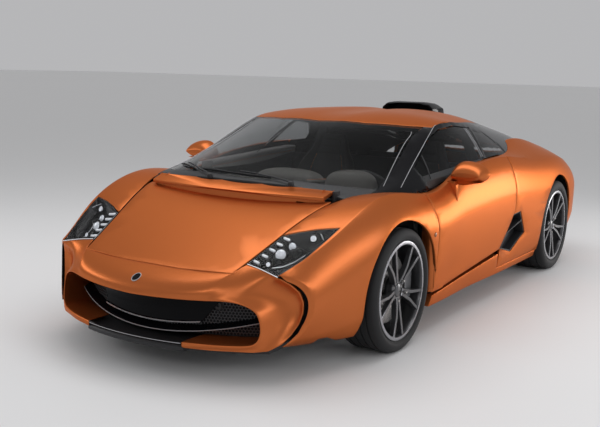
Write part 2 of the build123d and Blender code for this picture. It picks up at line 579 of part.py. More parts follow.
def build_roof_scoop():
    """The air scoop behind the roof, a hoop open to the front."""
    side = [(690, 1100), (690, 1206), (730, 1222), (790, 1224), (840, 1206), (882, 1172), (882, 1060)]
    scoop = prism_x(side, -215, 215) & prism_y(whole(SCOOP_HOOP), 680, 890)
    mouth = [(x - SCOOP_WALL, z - SCOOP_WALL) if x else (x, z - SCOOP_WALL) for x, z in SCOOP_HOOP[:-1]]
    mouth.append((SCOOP_HOOP[-1][0] - SCOOP_WALL, SCOOP_HOOP[-1][1]))
    scoop = scoop - canopy_at(CANOPY_FIT - FIT) - prism_y(whole(mouth), 680, 800)
    return largest(scoop)


def build_engine_cover():
    """The engine cover with its row of louvres between two ribs."""
    cover = canopy_panel & cover_space()
    for i in range(6):
        y = 1040 + i * 130
        slot = box(40, 330, y, y + 60, 500, 1200)
        cover = cover - slot - mirrored(slot)
    y, z = COVER_HINGE
    low, mid, high = LUG_X
    lug = (box(low, mid, y - 12, y + 14, z - 12, 1200) & canopy_at(8.0)) - rod((low - 10, y, z), (mid + 10, y, z), PIN_R + FIT)
    return largest(largest(cover) + both(lug))


# ---------------------------------------------------------------- rear body
INTAKE = [(514, 543), (643, 382), (412, 279), (204, 331), (207, 418), (293, 531)]
TAIL_SPLIT_Y = 1990.0
EXHAUST_X, EXHAUST_Z, EXHAUST_R = (-110.0, 110.0), 395.0, 46.0


def build_rear_quarters():
    """The rear wings: haunch, arch and the deck beside the engine cover."""
    plan = [(0, DOOR_REAR_Y + GAP), (REACH, DOOR_REAR_Y + GAP), (REACH, TAIL_SPLIT_Y), (0, TAIL_SPLIT_Y)]
    skin = (left_shell & box(0, REACH, 180, TAIL_SPLIT_Y, 205, TOP)) - door_gap
    skin = skin - prism_x([(170, 0), (170, 1200), (DOOR_REAR_Y, 1200), (DOOR_REAR_Y, 600), (205, 420), (205, 0)], 0, REACH)
    skin = skin - rear_well - prism_x(INTAKE, 800, REACH) - box(0, 560, 0, 2300, 0, TOP)
    skin = skin - cover_space(GAP, COVER_REAR_GAP)
    return both(largest(skin))


def build_side_intakes():
    """The six-sided black frames in front of the rear wheels, with two vanes."""
    cy = sum(y for y, z in INTAKE) / 6
    cz = sum(z for y, z in INTAKE) / 6
    def scaled(f, d=0.0):
        out = []
        for y, z in INTAKE:
            r = math.hypot(y - cy, z - cz)
            k = (r * f - d) / r
            out.append((cy + (y - cy) * k, cz + (z - cz) * k))
        return out
    zone = hull_at(6.0) & box(700, REACH, 150, 700, 200, 620)
    frame = (zone & prism_x(scaled(1.0, 0.5), 860, REACH)) - prism_x(scaled(1.0, 12.0), 872, REACH)
    vane = (zone & prism_x([(230, 400), (560, 470), (560, 478), (230, 408)], 862, REACH) & prism_x(scaled(1.0, 8.0), 800, REACH))
    return both(largest((frame + vane) - door_gap))


def build_rear_bumper():
    """The tail panel with its wide mesh opening."""
    outer = (hull_at(0.0) & box(-REACH, REACH, TAIL_SPLIT_Y + FIT, 2400, 300, TOP)) & turned_tail()
    inner = (hull_at(18.0) & box(-REACH, REACH, 1900, 2420, 280, TOP)) & turned_tail(20.0)
    shell = (outer - inner) - canopy_at(-1.0) - cover_space(GAP, COVER_REAR_GAP)
    opening = prism_y([(-560, 540), (-540, 640), (540, 640), (560, 540), (520, 470), (-520, 470)], 2100, 2400)
    return largest(shell - opening - exhaust_holes())


def build_rear_mesh():
    mesh = turned_tail(20.0 + FIT) - turned_tail(30.0)
    mesh = mesh & prism_y([(-585, 540), (-560, 655), (560, 655), (585, 540), (540, 455), (-540, 455)], 2100, 2300)
    return largest(mesh)


def build_tail_lamps():
    lamp = (turned_tail(-6.0) - turned_tail(-0.3)) & prism_y([(480, 662), (735, 652), (742, 668), (480, 684)], 1990, 2300)
    return both(largest(lamp))


def build_diffuser():
    """The black lower tail with upright fins."""
    body = turned_tail(8.0) & prism_x([(TAIL_SPLIT_Y, 190), (2210, 250), (2240, 300 - FIT), (TAIL_SPLIT_Y, 300 - FIT)], -760, 760)
    cut = prism_x([(1900, 120), (1900, 225), (2300, 285), (2300, 120)], -640, 640)
    body = body - cut
    for x in (-420, -140, 140, 420):
        body = body + (prism_x([(2010, 190), (2190, 215), (2200, 290), (2010, 250)], x - 5, x + 5))
    return largest(body)


def exhaust_holes():
    """The holes that the tail pipes pass through."""
    holes = [rod((x, 1900, EXHAUST_Z), (x, 2400, EXHAUST_Z), EXHAUST_R + FIT) for x in EXHAUST_X]
    return holes[0] + holes[1]


def build_exhaust():
    pipes = box(min(EXHAUST_X), max(EXHAUST_X), 1700, 1740, EXHAUST_Z - 20, EXHAUST_Z + 20)
    for x in EXHAUST_X:
        pipes = pipes + rod((x, 1700, EXHAUST_Z), (x, TAIL_Y - 4, EXHAUST_Z), EXHAUST_R)
    for x in EXHAUST_X:
        pipes = pipes - rod((x, 1745, EXHAUST_Z), (x, TAIL_Y + 60, EXHAUST_Z), EXHAUST_R - 4)
    return pipes


# ---------------------------------------------------------------- tub and cabin
FLOOR = (150.0, 170.0)      # underside and top of the floor
BULKHEAD_Y = (430.0, 446.0)
TUB_FIT = SKIN + 0.3


def build_tub():
    """Floor, sills, bulkheads, wheel housings and the luggage box in the nose."""
    walls = [
        # x0, x1, y0, y1, z0, z1
        (-787, 787, -820, 446, *FLOOR),            # cabin floor
        (-500, 500, -1990, -820, *FLOOR),          # front floor
        (-560, 560, 446, 1990, *FLOOR),            # engine bay floor
        (-500, 500, -1060, -1044, 160, 735),       # front bulkhead
        (-787, 787, *BULKHEAD_Y, 160, 815),        # rear bulkhead
        (-500, 500, -1600, -1584, 160, 640),       # front cross wall
    ]
    nose = rod((0, NOSE_AXIS_Y, 100), (0, NOSE_AXIS_Y, 700), SPLITTER_REAR_R - FIT)
    tub = box(*walls[0])
    for wall in walls[1:]:
        piece = box(*wall)
        tub = tub + (piece & nose if wall[2] < -1900 else piece)
    left = [
        (720, 787, -820, 446, 160, 420),           # inner sill
        (500, 787, -826, -810, 160, 735),          # behind the front wheel
        (500, 515, -1600, -810, 160, 660),         # beside the front wheel
        (560, 600, 960, 1780, 160, 700),           # beside the rear wheel
        (500, 800, -1600, -1584, 200, 480),        # ahead of the front wheel
        (560, 955, 446, 462, 215, 780),            # door post
        (560, 955, 960, 976, 215, 800),            # ahead of the rear wheel
        (560, 900, 1775, 1791, 240, 740),          # behind the rear wheel
        (0, 800, 1974, 1989.7, 160, 700),          # tail cross wall
    ]
    half = box(*left[0])
    for wall in left[1:]:
        half = half + box(*wall)
    half = half & hull_at(TUB_FIT, True)
    half = half - door_gap - prism_x(INTAKE, 860 - FIT, REACH)
    tub = tub + half + mirrored(half)
    post = prism_y([(-700, 780), (-560, 1070), (560, 1070), (700, 780)], *BULKHEAD_Y)
    post = post - prism_y([(-600, 830), (-520, 1030), (520, 1030), (600, 830)], 400, 500)
    tub = tub + (post & canopy_at(CANOPY_FIT + SKIN + 0.3))
    tub = tub + (box(-442, 442, -1940, -1445, 290, 620) & hull_at(SKIN + 12))
    tub = tub - box(-430, 430, -1928, -1457, 302, 900) - exhaust_holes()
    x, z, r = TOW_EYE
    tub = tub + rod((x, -1935, z), (x, -2020, z), r + 10) - rod((x, -1980, z), (x, -2100, z), r)
    for side in (1, -1):
        x0, x1 = sorted((side * 770, side * (HINGE_X + 12)))
        tub = tub + box(x0, x1, HINGE_Y - 18, HINGE_Y + 18, *HINGE_FOOT)
        tub = tub + rod((side * HINGE_X, HINGE_Y, HINGE_FOOT[0] + 2), (side * HINGE_X, HINGE_Y, HINGE_TOP_Z), HINGE_PIN_R)
    return largest(tub)


def build_cowl():
    """The black strip between bonnet and windscreen, with the hinge pins of the bonnet."""
    foot = [(x, y - CANOPY_FIT) for x, y in SCREEN_FOOT[1:]]
    strip = largest(canopy_panel & prism_z(whole([(0, COWL_FRONT_Y), (706, COWL_FRONT_Y)] + foot), 600))
    y, z = BONNET_HINGE
    ear = box(575 + FIT, 589, y - 8, COWL_FRONT_Y + 30, z - 45, z + 8)
    ear = ear + rod((545, y, z), (580, y, z), PIN_R)
    return strip + both(ear)


def build_sills():
    """The blades below the doors, which run back to the rear wheels."""
    side = [(-822, 160), (-822, 225), (180, 300), (200, 204.7), (958, 204.7), (958, 160)]
    sill = (left_hull & box(700, REACH, -822, 958, 150, 330)) & prism_x(side, 787 + FIT, REACH)
    foot = box(700, HINGE_X + 12 + FIT, HINGE_Y - 18 - FIT, HINGE_Y + 18 + FIT, HINGE_FOOT[0] - FIT, 400)
    return both(largest(sill - door_gap - foot))


def build_seats():
    cushion = prism_x([(-330, FLOOR[1] + 0.3), (-330, 330), (60, 290), (60, FLOOR[1] + 0.3)], 130, 610)
    back = prism_x([(20, 250), (60, 250), (320, 900), (260, 940), (200, 900), (-20, 300)], 160, 580)
    head = prism_x([(190, 880), (215, 1010), (280, 1020), (310, 890)], 300, 440)
    seat = cushion + back + head
    return both(largest(seat))


STEERING_CENTRE = (370.0, -560.0, 690.0)
STEERING_TILT = -65.0       # from level, so that the ring faces the driver
COLUMN_R = 25.0


def steering_column(radius, length):
    return Pos(*STEERING_CENTRE) * Rot(STEERING_TILT, 0, 0) * Pos(0, 0, -length / 2) * Cylinder(radius, length)


def build_dashboard():
    """The dashboard, across the cabin behind the front bulkhead."""
    plan = [(-499.7, -1043.7), (499.7, -1043.7), (499.7, -809), (690, -809), (690, -630), (-690, -630), (-690, -809), (-499.7, -809)]
    side = [(-1043.7, 560), (-1043.7, 760), (-860, 785), (-700, 770), (-640, 700), (-700, 600), (-860, 560)]
    dash = (prism_x(side, -690, 690) & prism_z(plan)) - steering_column(COLUMN_R + FIT, 400)
    return largest(dash)


def build_steering_wheel():
    wheel = Torus(168, 15) + Cylinder(48, 40) + Box(300, 34, 18) + Pos(0, -80, 0) * Box(30, 160, 18)
    return Pos(*STEERING_CENTRE) * Rot(STEERING_TILT, 0, 0) * wheel + steering_column(COLUMN_R, 180)


# ---------------------------------------------------------------- wheels
def build_tyre(wheel):
    """A tyre about the X axis, its middle at the origin."""
    r, half, bead = wheel["tyre_r"], wheel["width"] / 2, wheel["rim_r"] + FIT
    profile = [(bead, -half + 16), (bead + 16, -half + 16), (bead + 36, -half), (r, -half + 22)]
    points = [Vector(x, 0, radius) for radius, x in profile] + [Vector(-x, 0, radius) for radius, x in reversed(profile)]
    return Solid.revolve(Face(Wire.make_polygon(points, close=True)), 360, Axis.X)


def build_wheel(wheel):
    """A left wheel: barrel, five double-Y spokes, hub and brake disc, the outside towards +X."""
    r, half = wheel["rim_r"], wheel["width"] / 2 - 16
    lip = half + 6
    profile = [(-half - 5, r - 14), (-half - 5, r + 10), (-half - 0.3, r + 10), (-half - 0.3, r), (half + 0.3, r), (half + 0.3, r + 10),
               (lip, r + 10), (lip, r - 14)]
    points = [Vector(x, 0, radius) for x, radius in profile]
    barrel = Solid.revolve(Face(Wire.make_polygon(points, close=True)), 360, Axis.X)
    face_x = half - 8
    hub = rod((20, 0, 0), (face_x - 4, 0, 0), 62)
    disc = rod((0, 0, 0), (28, 0, 0), 182)
    body = hub + disc
    for k in range(5):
        for side in (1, -1):
            a = math.radians(72 * k + 90 + side * 9)
            b = math.radians(72 * k + 90 + side * 25)
            c = math.radians(72 * k + 90 + side * 10)
            for start, end, wide0, wide1 in (((50, a), (r - 6, c), 13, 9), ((120, a), (r - 6, b), 9, 8)):
                p = (start[0] * math.cos(start[1]), start[0] * math.sin(start[1]))
                q = (end[0] * math.cos(end[1]), end[0] * math.sin(end[1]))
                n = math.hypot(q[0] - p[0], q[1] - p[1])
                ux, uy = -(q[1] - p[1]) / n, (q[0] - p[0]) / n
                poly = [(p[0] + ux * wide0, p[1] + uy * wide0), (q[0] + ux * wide1, q[1] + uy * wide1),
                        (q[0] - ux * wide1, q[1] - uy * wide1), (p[0] - ux * wide0, p[1] - uy * wide0)]
                body = body + prism_x(poly, face_x - 30, face_x)
    bore = rod((-10, 0, 0), (face_x - 30, 0, 0), HUB_BORE_R)
    return largest((body + barrel) - bore)


def place_wheel(shape, wheel, axle_y, left):
    x = wheel["face_x"] - wheel["width"] / 2
    shape = Pos(x, axle_y, wheel["axle_z"]) * shape
    return shape if left else mirrored(shape)


def build_knuckle(wheel, axle_y, reach):
    """A left upright with its spindle, caliper and arm seats."""
    mid = wheel["face_x"] - wheel["width"] / 2
    z = wheel["axle_z"]
    half = wheel["width"] / 2 - 16
    x0 = KINGPIN_X if reach else mid - 70
    bar = box(x0 - 22, x0 + 20, axle_y - 32, axle_y + 32, z - 130, z + 130)
    spindle = rod((x0, axle_y, z), (mid + half - 42, axle_y, z), HUB_BORE_R - SPINDLE_CLEARANCE)
    bracket = box(x0 - 22, x0 + 16, axle_y, axle_y + 200, z - 40, z + 40)
    caliper = (box(mid - 45, mid + 58, axle_y + 120, axle_y + 205, z - 75, z + 75) & rod((mid - 60, axle_y, z), (mid + 70, axle_y, z), 215))
    caliper = caliper - rod((mid - 7, axle_y, z), (mid + 35, axle_y, z), 190)
    caliper = caliper - rod((mid + 30, axle_y, z), (mid + 70, axle_y, z), 130)
    upright = bar + spindle + bracket + caliper
    if reach:
        upright = upright - rod((x0, axle_y, z - 140), (x0, axle_y, z + 140), KINGPIN_R + FIT)
        upright = upright + (rod((x0, axle_y, z - 104), (x0, axle_y, z + 104), KINGPIN_R + 2 * FIT))
    return largest(upright)


def build_arms(wheel, axle_y, inner_x):
    """Upper and lower wishbones of one corner, with flat seats on the upright's ends."""
    z = wheel["axle_z"]
    mid = wheel["face_x"] - wheel["width"] / 2
    x0 = KINGPIN_X if axle_y < 0 else mid - 70
    arms = []
    for level in (z + 130 + FIT, z - 130 - FIT - 20):
        arm = prism_z([(x0 + 18, axle_y - 20), (x0 + 18, axle_y + 20), (x0 - 30, axle_y + 26), (inner_x, axle_y + 150),
                       (inner_x, axle_y + 110), (x0 - 80, axle_y), (inner_x, axle_y - 110), (inner_x, axle_y - 150),
                       (x0 - 30, axle_y - 26)], level, level + 20)
        if axle_y < 0:
            inward = math.copysign(24, z - level - 10)
            arm = arm + rod((x0, axle_y, level + 10), (x0, axle_y, level + 10 + inward), KINGPIN_R)
        arms.append(arm)
    return solids_of(*arms)


def build_engine():
    block = box(-260, 260, 520, 1180, FLOOR[1] + FIT, 760)
    gearbox = box(-190, 190, 1180, 1640, FLOOR[1] + FIT, 560)
    return largest(block + gearbox)


def build_wipers():
    arm = rod((-560, -1225, 862), (120, -1262, 872), 7)
    return largest(arm - canopy_at(0.1))


def main():
    corners = (("front", FRONT_WHEEL, FRONT_AXLE_Y), ("rear", REAR_WHEEL, REAR_AXLE_Y))
    made = {}

    def add(name, make):
        made[name] = make()
        print(name, len(made[name].solids()), flush=True)

    add("nose_panel", build_nose_panel)
    add("front_grille", build_front_grille)
    add("splitter", build_splitter)
    add("nose_ducts", build_nose_ducts)
    add("front_wings", build_wings)
    add("headlamps", build_headlamps)
    add("headlamp_glass", build_headlamp_glass)
    add("bonnet", build_bonnet)
    add("cowl", build_cowl)
    add("wipers", build_wipers)
    add("windscreen", build_windscreen)
    add("roof", build_roof)
    add("pillars", build_pillars)
    add("quarter_glass", build_quarter_glass)
    add("roof_scoop", build_roof_scoop)
    add("engine_cover", build_engine_cover)
    add("rear_quarters", build_rear_quarters)
    add("side_intakes", build_side_intakes)
    add("rear_bumper", build_rear_bumper)
    add("rear_mesh", build_rear_mesh)
    add("tail_lamps", build_tail_lamps)
    add("diffuser", build_diffuser)
    add("exhaust", build_exhaust)
    add("engine", build_engine)
    add("tub", build_tub)
    add("sills", build_sills)
    add("seats", build_seats)
    add("dashboard", build_dashboard)
    add("steering_wheel", build_steering_wheel)
    for name, make in (("door", build_door), ("door_glass", build_door_glass), ("mirror", build_mirror)):
        add(name + "_left", make)
        made[name + "_right"] = mirrored(made[name + "_left"])
    for place, wheel, axle_y in corners:
        for name, make in (("tyre", build_tyre), ("wheel", build_wheel)):
            shape = make(wheel)
            made[f"{name}_{place}_left"] = place_wheel(shape, wheel, axle_y, True)
            made[f"{name}_{place}_right"] = place_wheel(shape, wheel, axle_y, False)
    add("knuckle_left", lambda: build_knuckle(FRONT_WHEEL, FRONT_AXLE_Y, True))
    made["knuckle_right"] = mirrored(made["knuckle_left"])
    add("rear_knuckles", lambda: both(build_knuckle(REAR_WHEEL, REAR_AXLE_Y, False)))
    add("suspension_arms", lambda: solids_of(both(build_arms(FRONT_WHEEL, FRONT_AXLE_Y, 515.3)),
                                             both(build_arms(REAR_WHEEL, REAR_AXLE_Y, 600.3))))
    os.makedirs("parts", exist_ok=True)
    for old in os.listdir("parts"):
        os.remove("parts/" + old)
    for name, shape in made.items():
        found = shape.solids()
        export_step(found[0] if len(found) == 1 else Compound(found), f"parts/{name}.step")


if __name__ == "__main__":
    main()
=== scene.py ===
# Looks of a mid-engined two-seat coupe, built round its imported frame.
import bpy
import bmesh
import json
import math
from mathutils import Euler, Matrix, Vector
from mathutils.bvhtree import BVHTree


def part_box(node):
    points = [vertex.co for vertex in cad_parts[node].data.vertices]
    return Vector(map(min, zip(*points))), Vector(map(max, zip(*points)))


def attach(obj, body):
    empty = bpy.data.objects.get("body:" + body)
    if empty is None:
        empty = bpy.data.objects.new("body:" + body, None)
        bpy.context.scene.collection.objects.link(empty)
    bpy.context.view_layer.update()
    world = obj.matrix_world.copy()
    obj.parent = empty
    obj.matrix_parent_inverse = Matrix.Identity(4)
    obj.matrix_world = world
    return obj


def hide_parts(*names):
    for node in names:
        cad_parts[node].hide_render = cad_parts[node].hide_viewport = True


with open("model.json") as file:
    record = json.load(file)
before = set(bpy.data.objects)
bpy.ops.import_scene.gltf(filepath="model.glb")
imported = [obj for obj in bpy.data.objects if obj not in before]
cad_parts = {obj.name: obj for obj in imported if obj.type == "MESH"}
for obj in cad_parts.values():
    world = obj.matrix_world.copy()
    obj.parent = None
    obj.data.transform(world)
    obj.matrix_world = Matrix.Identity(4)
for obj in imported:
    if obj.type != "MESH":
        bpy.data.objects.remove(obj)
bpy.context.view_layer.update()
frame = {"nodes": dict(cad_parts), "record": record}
print("frame loaded:", len(frame["nodes"]), "nodes")


def linked(tree, *pairs):
    for start, end in pairs:
        tree.links.new(start, end)


# camera, light and floor
cameraSet = {"place": (2.879, -5.342, 1.44), "azimuth": 32.03, "elevation": 9.05, "roll": 1.48,
             "lens": 54.56, "sensor": 36}
studio = {
    "floorColour": (0.78, 0.78, 0.79, 1), "floorRoughness": 0.55, "floorSize": 240,
    "backColour": (0.47, 0.47, 0.48, 1), "worldLight": 0.62,
    # name, place, target, size, power and colour
    "lamps": (
        ("overhead", (0.0, -0.4, 4.4), (0, 0, 0), (5.4, 2.4), 95, (1, 1, 1)),
        ("sideLong", (5.6, -0.4, 2.1), (0.6, -0.2, 0.6), (6.0, 1.3), 70, (1, 1, 1)),
        ("sideFar", (-4.8, -3.0, 2.4), (0, -1.0, 0.5), (3.0, 1.2), 34, (1, 1, 1)),
        ("frontStrip", (1.4, -6.4, 2.8), (0, -1.5, 0.5), (3.6, 0.9), 26, (1, 1, 1)),
        ("rearSide", (3.3, 4.6, 0.95), (1.0, 0.0, 0.5), (1.6, 1.5), 60, (1.0, 0.97, 0.95)),
    ),
}


def makeCamera():
    az, el, roll = (math.radians(cameraSet[k]) for k in ("azimuth", "elevation", "roll"))
    forward = Vector((-math.sin(az) * math.cos(el), math.cos(az) * math.cos(el), -math.sin(el)))
    level = Vector((math.cos(az), math.sin(az), 0))
    upright = level.cross(forward)
    right = level * math.cos(roll) + upright * math.sin(roll)
    up = upright * math.cos(roll) - level * math.sin(roll)
    data = bpy.data.cameras.new("camera")
    data.lens, data.sensor_width = cameraSet["lens"], cameraSet["sensor"]
    camera = bpy.data.objects.new("camera", data)
    turn = Matrix((right, up, -forward)).transposed()
    camera.matrix_world = Matrix.Translation(cameraSet["place"]) @ turn.to_4x4()
    bpy.context.scene.collection.objects.link(camera)
    bpy.context.scene.camera = camera


def makeLamp(name, place, target, size, power, colour):
    data = bpy.data.lights.new(name, "AREA")
    data.shape, data.size, data.size_y = "RECTANGLE", size[0], size[1]
    data.energy, data.color = power, colour
    lamp = bpy.data.objects.new(name, data)
    lamp.location = place
    lamp.rotation_euler = (Vector(target) - Vector(place)).to_track_quat("-Z", "Y").to_euler()
    lamp.visible_camera = False
    bpy.context.scene.collection.objects.link(lamp)


def makeStudio():
    scene = bpy.context.scene
    scene.view_settings.view_transform = "Standard"
    world = bpy.data.worlds.new("studio")
    scene.world = world
    world.use_nodes = True
    tree = world.node_tree
    tree.nodes.clear()
    out = tree.nodes.new("ShaderNodeOutputWorld")
    dim = tree.nodes.new("ShaderNodeBackground")
    dim.inputs["Strength"].default_value = studio["worldLight"]
    shown = tree.nodes.new("ShaderNodeBackground")
    shown.inputs["Color"].default_value = studio["backColour"]
    mix = tree.nodes.new("ShaderNodeMixShader")
    rays = tree.nodes.new("ShaderNodeLightPath")
    seen = tree.nodes.new("ShaderNodeMath")
    seenThrough = tree.nodes.new("ShaderNodeMath")
    seen.operation = seenThrough.operation = "MAXIMUM"
    linked(tree, (rays.outputs["Is Camera Ray"], seen.inputs[0]),
           (rays.outputs["Is Glossy Ray"], seen.inputs[1]),
           (seen.outputs[0], seenThrough.inputs[0]),
           (rays.outputs["Is Transmission Ray"], seenThrough.inputs[1]),
           (seenThrough.outputs[0], mix.inputs[0]),
           (dim.outputs[0], mix.inputs[1]), (shown.outputs[0], mix.inputs[2]),
           (mix.outputs[0], out.inputs[0]))
    bpy.ops.mesh.primitive_plane_add(size=studio["floorSize"])
    floor = bpy.context.object
    floor.name = "floor"
    material = bpy.data.materials.new("floorPaint")
    material.use_nodes = True
    shader = material.node_tree.nodes["Principled BSDF"]
    shader.inputs["Base Color"].default_value = studio["floorColour"]
    shader.inputs["Roughness"].default_value = studio["floorRoughness"]
    floor.data.materials.append(material)
    for lamp in studio["lamps"]:
        makeLamp(*lamp)


makeCamera()
makeStudio()
print("studio ready")


# materials
def newMaterial(name, colour, roughness, metallic=0.0, **sockets):
    material = bpy.data.materials.new(name)
    material.use_nodes = True
    shader = material.node_tree.nodes["Principled BSDF"]
    shader.inputs["Base Color"].default_value = (*colour, 1)
    shader.inputs["Roughness"].default_value = roughness
    shader.inputs["Metallic"].default_value = metallic
    for socket, value in sockets.items():
        shader.inputs[socket.replace("_", " ")].default_value = value
    return material


def grainGroup():
    group = bpy.data.node_groups.new("fineGrain", "ShaderNodeTree")
    face = group.interface
    face.new_socket("Scale", in_out="INPUT", socket_type="NodeSocketFloat").default_value = 900
    face.new_socket("Spread", in_out="INPUT", socket_type="NodeSocketFloat").default_value = 0.08
    face.new_socket("Colour", in_out="INPUT", socket_type="NodeSocketColor")
    face.new_socket("Base Roughness", in_out="INPUT", socket_type="NodeSocketFloat").default_value = 0.4
    face.new_socket("Colour", in_out="OUTPUT", socket_type="NodeSocketColor")
    face.new_socket("Roughness", in_out="OUTPUT", socket_type="NodeSocketFloat")
    face.new_socket("Height", in_out="OUTPUT", socket_type="NodeSocketFloat")
    nodes = group.nodes
    entry, exit = nodes.new("NodeGroupInput"), nodes.new("NodeGroupOutput")
    place, noise = nodes.new("ShaderNodeTexCoord"), nodes.new("ShaderNodeTexNoise")
    noise.inputs["Detail"].default_value = 2
    centred, swing = nodes.new("ShaderNodeMath"), nodes.new("ShaderNodeMath")
    centred.operation, swing.operation = "SUBTRACT", "MULTIPLY"
    centred.inputs[1].default_value = 0.5
    bright = nodes.new("ShaderNodeHueSaturation")
    one, rough = nodes.new("ShaderNodeMath"), nodes.new("ShaderNodeMath")
    one.inputs[1].default_value = 1.0
    linked(group, (place.outputs["Object"], noise.inputs["Vector"]),
           (entry.outputs["Scale"], noise.inputs["Scale"]),
           (noise.outputs["Fac"], centred.inputs[0]),
           (centred.outputs[0], swing.inputs[0]), (entry.outputs["Spread"], swing.inputs[1]),
           (swing.outputs[0], one.inputs[0]), (one.outputs[0], bright.inputs["Value"]),
           (entry.outputs["Colour"], bright.inputs["Color"]),
           (swing.outputs[0], rough.inputs[0]), (entry.outputs["Base Roughness"], rough.inputs[1]),
           (bright.outputs[0], exit.inputs["Colour"]), (rough.outputs[0], exit.inputs["Roughness"]),
           (noise.outputs["Fac"], exit.inputs["Height"]))
    return group


grain = grainGroup()


def grained(name, colour, roughness, metallic=0.0, scale=900, spread=0.08, bump=0.0, depth=0.0005,
            **sockets):
    material = newMaterial(name, colour, roughness, metallic, **sockets)
    nodes, links = material.node_tree.nodes, material.node_tree.links
    shader = nodes["Principled BSDF"]
    effect = nodes.new("ShaderNodeGroup")
    effect.node_tree = grain
    effect.inputs["Scale"].default_value = scale
    effect.inputs["Spread"].default_value = spread
    effect.inputs["Colour"].default_value = (*colour, 1)
    effect.inputs["Base Roughness"].default_value = roughness
    links.new(effect.outputs["Colour"], shader.inputs["Base Color"])
    links.new(effect.outputs["Roughness"], shader.inputs["Roughness"])
    if bump:
        relief = nodes.new("ShaderNodeBump")
        relief.inputs["Strength"].default_value = bump
        relief.inputs["Distance"].default_value = depth
        links.new(effect.outputs["Height"], relief.inputs["Height"])
        links.new(relief.outputs[0], shader.inputs["Normal"])
    return material


finishes = {
    "paint": grained("copperPaint", (0.50, 0.132, 0.036), 0.33, 0.80, scale=2600, spread=0.12,
                     Coat_Weight=0.10, Coat_Roughness=0.2, Specular_Tint=(1.0, 0.50, 0.27, 1)),
    "glossBlack": grained("glossBlack", (0.003, 0.003, 0.004), 0.10, scale=600, spread=0.03,
                          Specular_IOR_Level=0.10),
    "satinBlack": grained("satinBlack", (0.016, 0.016, 0.018), 0.46, scale=1400, spread=0.12, bump=0.15,
                          Specular_IOR_Level=0.35),
    "mattBlack": grained("mattBlack", (0.008, 0.008, 0.009), 0.75, scale=900, spread=0.2, bump=0.2,
                         Specular_IOR_Level=0.2),
    "liner": grained("darkLiner", (0.012, 0.012, 0.013), 0.85, scale=700, spread=0.2,
                     Specular_IOR_Level=0.15),
    "glow": newMaterial("tailGlow", (0.70, 0.03, 0.02), 0.3, Emission_Color=(1.0, 0.05, 0.03, 1),
                        Emission_Strength=0.5),
    # a light grey for thin lines and faces along dark edges, standing for their highlights: painted
    # highlight
    "brightEdge": grained("brightEdge", (0.42, 0.42, 0.44), 0.34, 0.25, scale=900, spread=0.1),
    "meshWire": grained("meshWire", (0.075, 0.075, 0.080), 0.42, 0.5, scale=1800, spread=0.2),
    "castMetal": grained("castMetal", (0.20, 0.20, 0.21), 0.5, 0.9, scale=300, spread=0.2, bump=0.2),
    "alloy": grained("alloy", (0.42, 0.42, 0.43), 0.38, 1.0, scale=500, spread=0.15),
    "machined": grained("machinedAlloy", (0.33, 0.33, 0.35), 0.28, 1.0, scale=1200, spread=0.12),
    "steel": grained("steel", (0.40, 0.39, 0.38), 0.28, 1.0, scale=700, spread=0.15),
    "tyre": grained("tyreRubber", (0.014, 0.014, 0.015), 0.70, scale=900, spread=0.15, bump=0.25,
                    Specular_IOR_Level=0.3),
    "rim": grained("darkRim", (0.085, 0.085, 0.090), 0.30, 0.75, scale=500, spread=0.08, Coat_Weight=0.2),
    "cardLeather": grained("greyLeather", (0.40, 0.385, 0.375), 0.50, scale=260, spread=0.12, bump=0.3),
    "leather": grained("taupeLeather", (0.130, 0.122, 0.112), 0.58, scale=260, spread=0.16, bump=0.4),
    "seatLeather": grained("blackLeather", (0.030, 0.028, 0.026), 0.52, scale=300, spread=0.16, bump=0.4),
    "darkTrim": grained("darkTrim", (0.022, 0.022, 0.024), 0.6, scale=420, spread=0.2, bump=0.35,
                        depth=0.0004),
    "stitch": grained("orangeThread", (0.62, 0.19, 0.04), 0.7, scale=2500, spread=0.2),
    # a pale reflector whose faint glow paints the highlights of the bulbs, bars and edge lines; the lamps
    # are not lit
    "reflector": newMaterial("lampReflectorPaintedGlow", (0.86, 0.87, 0.90), 0.16, 0.35, Coat_Weight=0.6,
                             Emission_Color=(0.90, 0.93, 1.0, 1), Emission_Strength=0.22),
    "mirrorSilver": newMaterial("mirrorSilver", (0.80, 0.81, 0.83), 0.03, 1.0),
    "lampBowl": grained("lampBowl", (0.006, 0.006, 0.007), 0.30, 0.0, scale=500, spread=0.1,
                        Specular_IOR_Level=0.18),
    "lampRed": newMaterial("lampRed", (0.36, 0.008, 0.006), 0.12, Coat_Weight=0.5),
    "amber": newMaterial("amberLens", (0.35, 0.09, 0.01), 0.15, Coat_Weight=0.5),
    "screen": newMaterial("tintedScreen", (0.64, 0.65, 0.65), 0.01, 0.0, Transmission_Weight=1.0, IOR=1.10),
    "glass": newMaterial("darkGlass", (0.42, 0.43, 0.44), 0.01, 0.0, Transmission_Weight=1.0, IOR=1.12),
    "clear": newMaterial("clearLens", (0.88, 0.89, 0.90), 0.01, 0.0, Transmission_Weight=1.0, IOR=1.08),
}

slotFinish = {
    "body_paint": "paint", "gloss_black": "glossBlack", "satin_black": "satinBlack", "alloy": "alloy",
    "window_glass": "glass", "lamp_clear": "clear", "lamp_red": "lampRed", "rubber_tyre": "tyre",
    "rim_metal": "rim", "cast_metal": "castMetal", "seat_leather": "leather", "steel": "steel",
}
slotOfNode = {part["node"]: part["material_slot"] for part in frame["record"]["subparts"]}
bodyOfNode = {node: body for body, nodes in frame["record"]["behaviour"]["bodies"].items()
              for node in nodes}

for name, node in frame["nodes"].items():
    for slot in node.material_slots:
        slot.material = finishes[slotFinish[slotOfNode[name]]]
for slot in frame["nodes"]["windscreen"].material_slots:
    slot.material = finishes["screen"]
print("materials ready")


